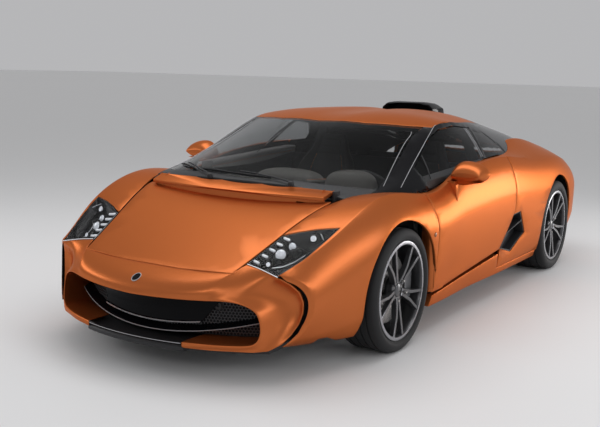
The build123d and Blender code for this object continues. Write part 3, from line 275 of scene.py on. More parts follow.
# mesh helpers
def newPiece(name, mesh, finish, body, replaced=()):
    piece = bpy.data.objects.new(name, mesh)
    bpy.context.scene.collection.objects.link(piece)
    if finish:
        for coat in (finish,) if isinstance(finish, str) else finish:
            mesh.materials.append(finishes[coat])
    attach(piece, body)
    if replaced:
        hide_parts(*replaced)
    return piece


def meshFrom(name, bm, smoothAngle=35):
    bmesh.ops.recalc_face_normals(bm, faces=bm.faces)
    mesh = bpy.data.meshes.new(name)
    bm.to_mesh(mesh)
    bm.free()
    mesh.shade_smooth()
    mesh.set_sharp_from_angle(angle=math.radians(smoothAngle))
    return mesh


def shapedPiece(name, bm, finish, body, replaced=(), smoothAngle=35):
    return newPiece(name, meshFrom(name, bm, smoothAngle), finish, body, replaced)


def circleOf(steps):
    return (2 * math.pi * k / steps for k in range(steps))


def ringAt(bm, centre, side, other, radius, steps):
    # new points round centre, in the plane of two directions
    return [bm.verts.new(centre + (side * math.cos(a) + other * math.sin(a)) * radius)
            for a in circleOf(steps)]


def joinRings(bm, here, there):
    # the faces between two rings of points; either may be a single point
    if len(here) == 1 or len(there) == 1:
        pole, ring = (here[0], there) if len(here) == 1 else (there[0], here)
        return [bm.faces.new((ring[k - 1], ring[k], pole)) for k in range(len(ring))]
    count = len(here)
    pairs = [(k, (k + 1) % count) for k in range(count)]
    return [bm.faces.new((here[k], here[j], there[j], there[k])) for k, j in pairs]


def lathe(bm, profile, steps=96):
    # profile is (x, radius) round the X axis, closed on itself
    rings = [[bm.verts.new((x, r * math.cos(a), r * math.sin(a))) for x, r in profile]
             for a in circleOf(steps)]
    for here, there in zip(rings, rings[1:] + rings[:1]):
        joinRings(bm, here, there)


def bar(bm, outline, low, high, turn=0.0, bevel=0.0):
    # a flat bar over an outline of (y, z) points between two x planes, turned round the X axis
    c, s = math.cos(turn), math.sin(turn)
    spun = [(y * c - z * s, y * s + z * c) for y, z in outline]
    bottom = [bm.verts.new((low(y, z) if callable(low) else low, y, z)) for y, z in spun]
    top = [bm.verts.new((high(y, z) if callable(high) else high, y, z)) for y, z in spun]
    count = len(spun)
    faces = [bm.faces.new(bottom), bm.faces.new(top)]
    for k in range(count):
        faces.append(bm.faces.new((bottom[k], bottom[(k + 1) % count], top[(k + 1) % count], top[k])))
    if bevel:
        cut = bmesh.ops.bevel(bm, geom=list(faces[1].edges), offset=bevel, segments=1, affect="EDGES")
        for face in cut["faces"]:
            face.material_index = 1


def stroke(points, widths):
    # the outline of a line with a width at each of its points
    left, right = [], []
    for i, (y, z) in enumerate(points):
        a = points[max(i - 1, 0)]
        b = points[min(i + 1, len(points) - 1)]
        run = math.hypot(b[0] - a[0], b[1] - a[1])
        ny, nz = -(b[1] - a[1]) / run, (b[0] - a[0]) / run
        left.append((y + ny * widths[i], z + nz * widths[i]))
        right.append((y - ny * widths[i], z - nz * widths[i]))
    return left + right[::-1]


# road wheels
rimSet = {
    "spokes": 5, "firstSpoke": 50.0, "edge": 0.0030, "lipFaces": 2, "steps": 128, "seat": 0.0155,
    # the barrel's section as (side of the wheel, step out from its half width, step from the rim's radius)
    "barrel": (
        (1, 0.0055, 0.0095), (1, 0.0068, 0.0065), (1, 0.0060, -0.0065), (1, -0.0060, -0.0120),
        (1, -0.0200, -0.0120), (-1, -0.0100, -0.0160), (-1, 0.0040, -0.0130), (-1, 0.0050, 0.0075),
        (-1, 0.0030, 0.0095), (-1, 0.0003, 0.0095), (-1, 0.0003, 0), (1, 0.0003, 0), (1, 0.0003, 0.0095),
    ),
    "face": 0.004, "dish": 0.026, "dishPower": 1.4, "dishMargin": 0.02, "thick": 0.020, "thicker": 0.016,
    "webSink": 0.006,
    # one bar of a Y spoke as (radius, angle in degrees off its middle, half width)
    "bar": ((0.046, 15.0, 0.0088), (0.085, 10.0, 0.0082), (0.135, 9.0, 0.0080), (0.2445, 12.0, 0.0088)),
    "web": ((0.040, 0.0, 0.018), (0.078, 0.0, 0.013)),
    # hub, cap and bolt sections as (step from the hub's face, radius), after the place of their backs
    "hubBack": 0.022, "hubInner": 0.036, "hubOuter": 0.060,
    "hub": ((-0.010, 0.064), (-0.002, 0.061), (0, 0.054), (0, 0.036)),
    "capBack": 0.060, "axle": 0.001,
    "cap": ((-0.010, 0.0355), (0.002, 0.033), (0.006, 0.026), (0.007, 0.001)),
    "bolt": ((-0.004, 0.0005), (-0.004, 0.0085), (0.010, 0.0080), (0.013, 0.0060), (0.013, 0.0005)),
    "bolts": 5, "boltCircle": 0.056, "firstBolt": 18,
}


def polar(table, side):
    points = []
    for r, degrees, _ in table:
        a = math.radians(side * degrees)
        points.append((r * math.cos(a), r * math.sin(a)))
    return stroke(points, [width for _, _, width in table])


def rimMesh(name, width, radius):
    half = width / 2 - rimSet["seat"]
    face = half + rimSet["face"]
    hubFace = face - rimSet["dish"]

    def dish(y, z):
        share = max(0.0, 1 - math.hypot(y, z) / (radius - rimSet["dishMargin"]))
        return face - rimSet["dish"] * share ** rimSet["dishPower"]

    def back(y, z):
        share = max(0.0, 1 - math.hypot(y, z) / radius)
        return dish(y, z) - rimSet["thick"] - rimSet["thicker"] * share

    bm = bmesh.new()
    barrel = [(side * (half + out), radius + rise) for side, out, rise in rimSet["barrel"]]
    lathe(bm, barrel, rimSet["steps"])
    bm.faces.ensure_lookup_table()
    for i, f in enumerate(bm.faces):
        f.material_index = 1 if i % len(barrel) < rimSet["lipFaces"] else 0
    for k in range(rimSet["spokes"]):
        turn = math.radians(rimSet["firstSpoke"] + 360 / rimSet["spokes"] * k)
        for side in (1, -1):
            bar(bm, polar(rimSet["bar"], side), back, dish, turn, rimSet["edge"])
        bar(bm, polar(rimSet["web"], 1), back, lambda y, z: dish(y, z) - rimSet["webSink"], turn)
    hub = [(rimSet["hubBack"], rimSet["hubInner"]), (rimSet["hubBack"], rimSet["hubOuter"])]
    lathe(bm, hub + [(hubFace + x, r) for x, r in rimSet["hub"]], 64)
    lathe(bm, [(rimSet["capBack"], rimSet["axle"])] + [(hubFace + x, r) for x, r in rimSet["cap"]], 48)
    return meshFrom(name, bm), hubFace


def boltRing(name, hubFace):
    # wheel bolts copied round the hub by Geometry Nodes
    bm = bmesh.new()
    lathe(bm, [(hubFace + x, r) for x, r in rimSet["bolt"]], 6)
    seed = bpy.data.objects.new(name + "Bolt", meshFrom(name + "Bolt", bm, 30))
    bpy.context.scene.collection.objects.link(seed)
    tree = bpy.data.node_groups.new(name + "Ring", "GeometryNodeTree")
    tree.interface.new_socket("Geometry", in_out="OUTPUT", socket_type="NodeSocketGeometry")
    for label, kind, value in (("Count", "NodeSocketInt", rimSet["bolts"]),
                               ("Radius", "NodeSocketFloat", rimSet["boltCircle"])):
        tree.interface.new_socket(label, in_out="INPUT", socket_type=kind).default_value = value
    entry, exit = tree.nodes.new("NodeGroupInput"), tree.nodes.new("NodeGroupOutput")
    circle = tree.nodes.new("GeometryNodeMeshCircle")
    turn = tree.nodes.new("GeometryNodeTransform")
    turn.inputs["Rotation"].default_value = (math.radians(rimSet["firstBolt"]), math.pi / 2, 0)
    source = tree.nodes.new("GeometryNodeObjectInfo")
    source.inputs["Object"].default_value = seed
    copies = tree.nodes.new("GeometryNodeInstanceOnPoints")
    real = tree.nodes.new("GeometryNodeRealizeInstances")
    coat = tree.nodes.new("GeometryNodeSetMaterial")
    coat.inputs["Material"].default_value = finishes["steel"]
    linked(tree, (entry.outputs["Count"], circle.inputs["Vertices"]),
           (entry.outputs["Radius"], circle.inputs["Radius"]),
           (circle.outputs[0], turn.inputs[0]), (turn.outputs[0], copies.inputs["Points"]),
           (source.outputs["Geometry"], copies.inputs["Instance"]), (copies.outputs[0], real.inputs[0]),
           (real.outputs[0], coat.inputs[0]), (coat.outputs[0], exit.inputs[0]))
    holder = bpy.data.objects.new(name, bpy.data.meshes.new(name))
    bpy.context.scene.collection.objects.link(holder)
    holder.modifiers.new("ring", "NODES").node_group = tree
    return plainMesh(holder, seed)


def plainMesh(holder, seed):
    # the result of a holder's nodes as one mesh; the holder and its seed go
    bpy.context.view_layer.update()
    mesh = bpy.data.meshes.new_from_object(holder.evaluated_get(bpy.context.evaluated_depsgraph_get()))
    for leftover in (holder, seed):
        bpy.data.objects.remove(leftover)
    return mesh


def placedWheel(mesh, centre, mirrored):
    turn = Matrix.Diagonal((-1, 1, 1, 1)) if mirrored else Matrix.Identity(4)
    mesh.transform(Matrix.Translation(centre) @ turn)
    if mirrored:
        mesh.flip_normals()
    return mesh


tyreSet = {
    "rim": 0.249, "bead": 0.0003, "steps": 144,
    # the wall's section as (step from the half width, step from the bead); the shoulder's from the radius
    "wall": ((-0.016, 0), (-0.0160, 0.009), (-0.0135, 0.014), (-0.007, 0.019), (-0.0045, 0.022),
             (-0.0050, 0.0235), (-0.0015, 0.030), (0, 0.038)),
    "shoulder": ((-0.0010, -0.030), (-0.0055, -0.016), (-0.0130, -0.0065), (-0.0240, -0.0012)),
    "grooves": 4, "treadMargin": 0.030, "grooveWidth": 0.010, "grooveDepth": 0.007, "grooveEdge": 0.0003,
    "grooveFoot": 0.7,
}
discProfile = ((0.0005, 0.075), (0.0005, 0.180), (0.0020, 0.182), (0.0260, 0.182), (0.0275, 0.180),
               (0.0275, 0.110), (0.0400, 0.100), (0.0400, 0.075))


def tyreMesh(name, radius, width):
    half = width / 2
    bead = tyreSet["rim"] + tyreSet["bead"]
    side = [(half + x, bead + r) for x, r in tyreSet["wall"]]
    side += [(half + x, radius + r) for x, r in tyreSet["shoulder"]]
    tread = []
    span = (half - tyreSet["treadMargin"]) * 2
    edge, deep = radius - tyreSet["grooveEdge"], radius - tyreSet["grooveDepth"]
    top = tyreSet["grooveWidth"] / 2
    foot = top * tyreSet["grooveFoot"]
    for k in range(tyreSet["grooves"]):
        centre = span * (0.5 - (k + 0.5) / tyreSet["grooves"])
        tread += [(centre + top, edge), (centre + foot, deep), (centre - foot, deep), (centre - top, edge)]
    other = [(-x, r) for x, r in side[::-1]]
    bm = bmesh.new()
    lathe(bm, side + tread + other, tyreSet["steps"])
    return meshFrom(name, bm, 40)


def makeWheel(place, side):
    tyreName, rimName = f"tyre_{place}_{side}", f"wheel_{place}_{side}"
    low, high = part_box(tyreName)
    centre, mirrored = (low + high) / 2, side == "right"
    radius, width = (high.z - low.z) / 2, high.x - low.x
    body = bodyOfNode[tyreName]
    tyre = placedWheel(tyreMesh(f"{place}Tyre_{side}", radius, width), centre, mirrored)
    newPiece(f"{place}Tyre_{side}", tyre, "tyre", body, (tyreName,))
    mesh, hubFace = rimMesh(f"{place}Rim_{side}", width, tyreSet["rim"])
    rim = placedWheel(mesh, centre, mirrored)
    newPiece(f"{place}Rim_{side}", rim, ("rim", "machined"), body, (rimName,))
    bolts = placedWheel(boltRing(f"{place}Bolts_{side}", hubFace), centre, mirrored)
    newPiece(f"{place}Bolts_{side}", bolts, None, body)
    bm = bmesh.new()
    lathe(bm, discProfile, 96)
    disc = placedWheel(meshFrom(f"{place}Disc_{side}", bm), centre, mirrored)
    newPiece(f"{place}Disc_{side}", disc, "steel", body)


for place in ("front", "rear"):
    for side in ("left", "right"):
        makeWheel(place, side)
print("road wheels ready")


# body panels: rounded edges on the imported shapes
panelSet = {
    "merge": 0.00002, "flat": 0.3, "sharp": 30, "paintEdge": 0.0030, "glossEdge": 0.0015,
    "satinEdge": 0.0012,
    # faces that look inward past this share get the dark liner, apart from the bonnet's flap
    "spine": 0.45, "inward": -0.35, "flap": (-1.46, -1.10), "flapFoot": 0.68,
}


def mergedCopy(*nodes):
    bm = bmesh.new()
    for node in nodes:
        bm.from_mesh(frame["nodes"][node].data)
    bmesh.ops.remove_doubles(bm, verts=bm.verts, dist=panelSet["merge"])
    bmesh.ops.dissolve_degenerate(bm, edges=bm.edges, dist=0.00001)
    return bm


def inward(face):
    # whether a face looks toward the car's middle line
    centre = face.calc_center_median()
    if panelSet["flap"][0] < centre.y < panelSet["flap"][1] and centre.z > panelSet["flapFoot"]:
        return False
    out = Vector((centre.x, 0, centre.z - panelSet["spine"])).normalized()
    return face.normal.dot(out) < panelSet["inward"]


def dress(node, finish, bevel, segments=2):
    bm = mergedCopy(node)
    for face in bm.faces:
        face.material_index = 1 if finish == "paint" and inward(face) else 0
    flat = math.radians(panelSet["flat"])
    bmesh.ops.dissolve_limit(bm, angle_limit=flat, verts=bm.verts, edges=bm.edges, delimit={"MATERIAL"})
    mesh = bpy.data.meshes.new(node + "Dressed")
    bm.to_mesh(mesh)
    bm.free()
    mesh.shade_smooth()
    coats = (finish, "liner") if finish == "paint" else finish
    piece = newPiece(node + "Dressed", mesh, coats, bodyOfNode[node], (node,))
    if bevel:
        rounding = piece.modifiers.new("rounding", "BEVEL")
        rounding.width, rounding.segments = bevel, segments
        rounding.limit_method = "ANGLE"
        rounding.angle_limit = math.radians(panelSet["sharp"])
        rounding.use_clamp_overlap = False
        rounding.miter_outer = "MITER_ARC"
        rounding.harden_normals = True
    else:
        mesh.set_sharp_from_angle(angle=math.radians(panelSet["sharp"]))


painted = ("front_wings", "bonnet", "roof", "door_left", "door_right", "rear_quarters", "rear_bumper",
           "sills")
for node in painted:
    dress(node, "paint", panelSet["paintEdge"], 3)
for node in ("pillars", "roof_scoop", "engine_cover"):
    dress(node, "glossBlack", panelSet["glossEdge"])
dress("cowl", "satinBlack", panelSet["glossEdge"])
for node in ("splitter", "nose_ducts", "side_intakes", "diffuser"):
    dress(node, "satinBlack", panelSet["satinEdge"])
print("body panels dressed")


# finding the place of a small piece on what carries it
def treeOf(*nodes):
    bm = mergedCopy(*nodes)
    found = BVHTree.FromBMesh(bm)
    bm.free()
    return found


def onto(tree, start, direction):
    place, normal, _, _ = tree.ray_cast(Vector(start), Vector(direction).normalized())
    return place, normal


def copiesTree():
    tree = bpy.data.node_groups.new("copiesOnPoints", "GeometryNodeTree")
    tree.interface.new_socket("Geometry", in_out="OUTPUT", socket_type="NodeSocketGeometry")
    tree.interface.new_socket("Points", in_out="INPUT", socket_type="NodeSocketGeometry")
    tree.interface.new_socket("Shape", in_out="INPUT", socket_type="NodeSocketObject")
    tree.interface.new_socket("Finish", in_out="INPUT", socket_type="NodeSocketMaterial")
    tree.interface.new_socket("Size", in_out="INPUT", socket_type="NodeSocketFloat").default_value = 1.0
    entry, exit = tree.nodes.new("NodeGroupInput"), tree.nodes.new("NodeGroupOutput")
    source = tree.nodes.new("GeometryNodeObjectInfo")
    turn = tree.nodes.new("GeometryNodeInputNamedAttribute")
    turn.data_type = "FLOAT_VECTOR"
    turn.inputs["Name"].default_value = "turn"
    asRotation = tree.nodes.new("FunctionNodeEulerToRotation")
    place = tree.nodes.new("GeometryNodeInstanceOnPoints")
    real = tree.nodes.new("GeometryNodeRealizeInstances")
    coat = tree.nodes.new("GeometryNodeSetMaterial")
    linked(
        tree,
        (entry.outputs["Points"], place.inputs["Points"]),
        (entry.outputs["Shape"], source.inputs["Object"]),
        (source.outputs["Geometry"], place.inputs["Instance"]),
        (turn.outputs["Attribute"], asRotation.inputs[0]),
        (asRotation.outputs[0], place.inputs["Rotation"]), (entry.outputs["Size"], place.inputs["Scale"]),
        (place.outputs[0], real.inputs[0]), (real.outputs[0], coat.inputs["Geometry"]),
        (entry.outputs["Finish"], coat.inputs["Material"]), (coat.outputs[0], exit.inputs[0]),
    )
    return tree


copyTree = copiesTree()


def copiesOn(name, points, turns, shape, finish, size=1.0):
    # one mesh with the shape repeated at the points; turns are Euler angles
    holderMesh = bpy.data.meshes.new(name)
    holderMesh.from_pydata([tuple(p) for p in points], [], [])
    data = holderMesh.attributes.new("turn", "FLOAT_VECTOR", "POINT")
    data.data.foreach_set("vector", [c for t in turns for c in t])
    holder = bpy.data.objects.new(name, holderMesh)
    seed = bpy.data.objects.new(name + "Shape", shape)
    for item in (holder, seed):
        bpy.context.scene.collection.objects.link(item)
    modifier = holder.modifiers.new("copies", "NODES")
    modifier.node_group = copyTree
    values = {"Shape": seed, "Finish": finishes[finish], "Size": size}
    for socket in copyTree.interface.items_tree:
        if socket.in_out == "INPUT" and socket.name in values:
            modifier[socket.identifier] = values[socket.name]
    return plainMesh(holder, seed)


def facing(normal):
    # Euler angles that turn a shape's +Z to the normal, its +X level
    n = Vector(normal).normalized()
    side = Vector((0, 0, 1)).cross(n)
    side = side.normalized() if side.length > 0.001 else Vector((1, 0, 0))
    up = n.cross(side)
    return tuple(Matrix((side, up, n)).transposed().to_euler())


def capsule(bm, start, end, radius, steps=16, rings=4):
    # a bar with round ends between two points
    start, end = Vector(start), Vector(end)
    axis = (end - start).normalized()
    side = axis.orthogonal().normalized()
    other = axis.cross(side)
    loops = [[bm.verts.new(start - axis * radius)]]
    for tip, sign, order in ((start, -1, range(1, rings + 1)), (end, 1, range(rings, 0, -1))):
        for i in order:
            a = math.pi / 2 * i / rings
            centre = tip + axis * sign * radius * math.cos(a)
            loops.append(ringAt(bm, centre, side, other, radius * math.sin(a), steps))
    loops.append([bm.verts.new(end + axis * radius)])
    for here, there in zip(loops, loops[1:]):
        joinRings(bm, here, there)


def tube(bm, points, radius, steps=10):
    # a round bar along points, with flat ends
    points = [Vector(p) for p in points]
    loops = []
    side = None
    for i, p in enumerate(points):
        axis = (points[min(i + 1, len(points) - 1)] - points[max(i - 1, 0)]).normalized()
        side = axis.orthogonal() if side is None else side - axis * side.dot(axis)
        side.normalize()
        loops.append(ringAt(bm, p, side, axis.cross(side), radius, steps))
    for here, there in zip(loops, loops[1:]):
        joinRings(bm, here, there)
    bm.faces.new(loops[0])
    bm.faces.new(loops[-1])


def turnedShape(bm, centre, axis, profile, steps=32):
    # a solid turned round an axis through centre from (along, radius) points
    n = Vector(axis).normalized()
    side = n.orthogonal().normalized()
    other = n.cross(side)
    loops = []
    for along, radius in profile:
        place = Vector(centre) + n * along
        loops.append(ringAt(bm, place, side, other, radius, steps) if radius else [bm.verts.new(place)])
    for here, there in zip(loops, loops[1:]):
        joinRings(bm, here, there)


def stitches(bm, line, radius):
    # short threads along every other step of a line
    for start, end in zip(line[::2], line[1::2]):
        capsule(bm, start, end, radius, 6, 2)


def bothSides(make):
    # the piece on the car's left, at +X, and on its right
    for side, sign in (("left", 1), ("right", -1)):
        make(side, sign)


# headlamps
lampSet = {
    # round bars on dark shelves
    "bars": ((0.517, -1.937, 0.546), (0.530, -1.887, 0.568), (0.539, -1.840, 0.590), (0.551, -1.795, 0.612),
             (0.564, -1.753, 0.633)),
    "barHalf": (0.0150, -0.006, -0.001), "barRadius": 0.0072,
    "shelf": (0, 0.006, -0.0085), "shelfBefore": 1.6, "shelfBehind": 1.25, "shelfRadius": 0.00756,
    # places and radii, then the turned sections as (step along the aim, share of the radius)
    "projectors": (((0.592, -1.848, 0.577), 0.024), ((0.615, -1.783, 0.609), 0.017)),
    "housing": ((-0.034, 0), (-0.034, 1), (-0.008, 1.20), (0.001, 1.20), (0.001, 1.08), (-0.006, 1.04),
                (-0.006, 0)),
    "reflector": ((-0.0055, 0), (-0.0055, 1.02), (-0.001, 1.05), (0.0005, 1.03), (0.0005, 0.93),
                  (0.004, 0.80), (0.0075, 0.55), (0.0095, 0.25), (0.010, 0)),
    "lens": ((0.0, 0), (0.0, 0.97), (0.003, 0.95), (0.009, 0.75), (0.0125, 0.45), (0.0138, 0)),
    # the bulbs' section is in shares of the radius both ways, but for the step at its rim
    "bulbs": (((0.690, -1.717, 0.646), 0.012), ((0.581, -1.934, 0.543), 0.0085)),
    "bulbBack": ((-1, 0), (-1, 0.6), (-0.2, 1.2), (0, 1.25)), "bulbRim": (0.0005, 1.1),
    "bulbCup": ((-0.5, 0.6), (-0.4, 0.45), (0.2, 0.4), (0.5, 0)),
    "edgeLine": ((0.713, -1.688, 0.668), (0.732, -1.705, 0.658), (0.748, -1.722, 0.648)),
    "edgeRadius": 0.0011,
    "sweepLine": ((0.602, -1.930, 0.528), (0.630, -1.885, 0.530), (0.655, -1.830, 0.545),
                  (0.680, -1.770, 0.572)),
    "sweepRadius": 0.0016, "aim": (0.22, -0.90, 0.38),
}


def makeHeadlamp(side, sign):
    def flip(p):
        return Vector((sign * p[0], p[1], p[2]))

    aim = flip(lampSet["aim"]).normalized()
    bright, dark, lens = bmesh.new(), bmesh.new(), bmesh.new()
    half, shelf = Vector(lampSet["barHalf"]), Vector(lampSet["shelf"])
    for centre in lampSet["bars"]:
        c = Vector(centre)
        capsule(bright, flip(c - half), flip(c + half), lampSet["barRadius"])
        start, end = c - half * lampSet["shelfBefore"] + shelf, c + half * lampSet["shelfBehind"] + shelf
        capsule(dark, flip(start), flip(end), lampSet["shelfRadius"])
    for centre, r in lampSet["projectors"]:
        for bm, key in ((dark, "housing"), (bright, "reflector"), (lens, "lens")):
            turnedShape(bm, flip(centre), aim, [(step, r * share) for step, share in lampSet[key]])
    for centre, r in lampSet["bulbs"]:
        back, cup = ([(r * along, r * share) for along, share in lampSet[key]]
                     for key in ("bulbBack", "bulbCup"))
        step, share = lampSet["bulbRim"]
        turnedShape(bright, flip(centre), aim, back + [(step, r * share)] + cup)
    for line, radius in (("edgeLine", "edgeRadius"), ("sweepLine", "sweepRadius")):
        tube(bright, [flip(p) for p in lampSet[line]], lampSet[radius], 8)
    # the bars, reflectors, bulbs and edge lines share the reflector finish, whose glow is a painted
    # highlight
    for label, bm, finish, slotName in (("Bright", bright, "reflector", "alloy"),
                                        ("Dark", dark, "satinBlack", "satin_black"),
                                        ("Lens", lens, "clear", "lamp_clear")):
        shapedPiece(f"headlamp{label}_{side}", bm, finish, "chassis")


bothSides(makeHeadlamp)
bowlSet = {"leanFrom": -1.90, "leanBelow": 0.505, "lean": 1.0}


def makeLampBowls():
    # the housings, their lower front leant back behind the nose's skin
    bm = mergedCopy("headlamps")
    for v in bm.verts:
        if v.co.y < bowlSet["leanFrom"]:
            v.co.y += max(0.0, bowlSet["leanBelow"] - v.co.z) * bowlSet["lean"]
    shapedPiece("lampBowls", bm, "lampBowl", "chassis", ("headlamps",), smoothAngle=30)


makeLampBowls()
dress("headlamp_glass", "clear", 0)
print("headlamps ready")


# the mouth's grille: a dark visor and a blade whose edges carry painted highlights in a light grey, in
# front of a honeycomb
grilleSet = {
    "axisY": -1.090,
    # the opening's outline as (x, z), from its middle top round to the lower lip
    "mouth": ((0.0, 0.3735), (0.35, 0.3815), (0.48, 0.3895), (0.550, 0.3760), (0.598, 0.3490),
              (0.616, 0.312), (0.6235, 0.272), (0.6235, 0.240), (0.611, 0.202), (0.570, 0.1885),
              (0.0, 0.1885)),
    # the visor's section as (radius, share of the height, fixed drop)
    "visor": ((0.9968, 1.0, 0), (1.000, 0.80, 0), (1.006, 0.45, 0), (1.013, 0.16, 0), (1.019, 0.03, 0),
              (1.030, 0, 0.002), (1.0335, 0, 0), (1.0325, 0, -0.0032), (1.016, 0.0, -0.001),
              (1.008, 0.16, 0), (1.001, 0.45, 0), (0.9955, 0.80, 0), (0.9935, 1.0, 0)),
    # the visor's faces listed next are painted highlight along its lower lip
    "visorHighlightFaces": (5, 6), "visorFoot": 0.234, "visorCurve": 0.23, "visorHalf": 0.300, "visorFlare": 0.0924,
    "visorTop": 0.3715, "visorRise": 0.0165, "visorRiseEnd": 0.45, "rows": 24,
    # the blade's section as (radius, rise)
    "blade": ((0.9925, 0.026), (1.010, 0.018), (1.040, 0.0045), (1.0425, 0.0025), (1.0410, 0.0),
              (1.010, 0.008), (0.9925, 0.014)),
    # the blade's faces listed next are painted highlight along its front edge
    "bladeHighlightFaces": (2, 3), "bladeFoot": 0.188, "bladeCurve": 0.24, "bladeHalf": 0.575,
    "backHalf": 0.6234, "backFront": 0.9872, "backRear": 0.9860,
    # honeycomb rows between two heights, left out inside the hidden half width above hiddenFrom
    "meshRadius": 0.990, "meshSink": 0.0025, "pitch": 0.0165, "wire": 0.0013, "depth": 0.007, "low": 0.196,
    "high": 0.40,
    "half": 0.68, "margin": 0.002, "hiddenHalf": 0.27, "hiddenFrom": 0.262,
    # the towing socket's cap: place and radius, its rim, then the hollow
    "socket": (0.360, 0.330, 0.022), "capBack": 0.0035, "capFront": 0.004, "capCrown": 0.0055,
    "capRound": 0.002,
    "hollow": ((0.0055, 0.0095), (-0.001, 0.0085), (-0.001, 0)),
}


def onDrum(x, radius, z):
    return Vector((x, grilleSet["axisY"] - math.sqrt(radius * radius - x * x), z))


def mouthSpan(x):
    # the opening's top and bottom at x
    outline = grilleSet["mouth"]
    found = []
    for line in (outline[:7], outline[:6:-1]):
        for a, b in zip(line, line[1:]):
            if a[0] <= abs(x) <= b[0]:
                found.append(a[1] + (b[1] - a[1]) * (abs(x) - a[0]) / (b[0] - a[0]))
                break
    return found if len(found) == 2 else None


def insideMouth(x, z, margin):
    span = mouthSpan(abs(x) + margin)
    return span is not None and span[1] + margin < z < span[0] - margin


def loftLoops(bm, loops, highlightFaces=()):
    # closed loops joined one after the other, with end caps; the faces listed in the last argument get the
    # second finish, which on the grille is the painted highlight
    made = [[bm.verts.new(p) for p in loop] for loop in loops]
    for here, there in zip(made, made[1:]):
        band = joinRings(bm, here, there)
        for k in highlightFaces:
            band[k].material_index = 1
    bm.faces.new(made[0])
    bm.faces.new(made[-1])


def hexCell(name, pitch, wire, depth):
    # one six-sided cell of a honeycomb, its walls rising along +Z
    bm = bmesh.new()
    outer, inner = pitch / math.sqrt(3) + 0.0001, pitch / math.sqrt(3) - wire
    rings = [[bm.verts.new((r * math.sin(a), r * math.cos(a), z)) for a in circleOf(6)]
             for r, z in ((outer, 0), (outer, depth), (inner, depth), (inner, 0))]
    for here, there in zip(rings, rings[1:] + rings[:1]):
        joinRings(bm, here, there)
    return meshFrom(name, bm, 20)


def makeVisor():
    loops = []
    rows = grilleSet["rows"]
    for i in range(rows + 1):
        u = 2 * i / rows - 1
        loop = []
        for radius, share, drop in grilleSet["visor"]:
            x = u * (grilleSet["visorHalf"] + grilleSet["visorFlare"] * share)
            low = grilleSet["visorFoot"] + grilleSet["visorCurve"] * x * x
            rise = min(abs(x) / grilleSet["visorRiseEnd"], 1.0) ** 2
            high = grilleSet["visorTop"] + grilleSet["visorRise"] * rise
            loop.append(onDrum(x, radius, low + share * (high - low) + drop))
        loops.append(loop)
    bm = bmesh.new()
    loftLoops(bm, loops, grilleSet["visorHighlightFaces"])
    # black, with painted highlight on the listed edge faces
    coats = ("glossBlack", "brightEdge")
    shapedPiece("grilleVisor", bm, coats, "chassis", ("front_grille",), smoothAngle=30)
    loops = []
    for i in range(rows * 2 + 1):
        x = (i / rows - 1) * grilleSet["bladeHalf"]
        z = grilleSet["bladeFoot"] + grilleSet["bladeCurve"] * x * x
        loops.append([onDrum(x, radius, z + rise) for radius, rise in grilleSet["blade"]])
    bm = bmesh.new()
    loftLoops(bm, loops, grilleSet["bladeHighlightFaces"])
    shapedPiece("grilleBlade", bm, coats, "chassis", smoothAngle=30)


def makeGrilleBack():
    rows, front, rear = grilleSet["rows"], grilleSet["backFront"], grilleSet["backRear"]
    loops = []
    for i in range(rows * 2 + 1):
        x = (i / rows - 1) * grilleSet["backHalf"]
        top, low = mouthSpan(x)
        loops.append([onDrum(x, r, z) for r, z in ((front, top), (front, low), (rear, low), (rear, top))])
    bm = bmesh.new()
    loftLoops(bm, loops)
    shapedPiece("grilleBack", bm, "mattBlack", "chassis", smoothAngle=30)


def makeGrilleMesh():
    pitch = grilleSet["pitch"]
    radius = grilleSet["meshRadius"] - grilleSet["meshSink"]
    socketX, socketZ, socketRadius = grilleSet["socket"]
    points, turns = [], []
    row, z = 0, grilleSet["low"]
    count = int(grilleSet["half"] / (pitch / radius))
    while z < grilleSet["high"]:
        for i in range(-count, count + 1):
            angle = (i + 0.5 * (row % 2)) * pitch / radius
            x = radius * math.sin(angle)
            hidden = abs(x) < grilleSet["hiddenHalf"] and z > grilleSet["hiddenFrom"]
            taken = math.hypot(x - socketX, z - socketZ) < socketRadius
            if insideMouth(x, z, grilleSet["margin"]) and not hidden and not taken:
                points.append(onDrum(x, radius, z))
                turns.append(facing((math.sin(angle), -math.cos(angle), 0)))
        row += 1
        z += pitch * math.sqrt(3) / 2
    cell = hexCell("grilleCell", pitch, grilleSet["wire"], grilleSet["depth"])
    mesh = copiesOn("grilleMesh", points, turns, cell, "meshWire")
    newPiece("grilleMesh", mesh, None, "chassis")


def makeSocketCap():
    x, z, r = grilleSet["socket"]
    back, front, crown = grilleSet["capBack"], grilleSet["capFront"], grilleSet["capCrown"]
    profile = [(-back, 0), (-back, r), (front, r), (crown, r - grilleSet["capRound"]), *grilleSet["hollow"]]
    bm = bmesh.new()
    turnedShape(bm, onDrum(x, grilleSet["meshRadius"], z), (x, -1, 0), profile)
    shapedPiece("towSocketCap", bm, "satinBlack", "chassis")


makeVisor()
makeGrilleBack()
makeGrilleMesh()
makeSocketCap()
print("grille ready")


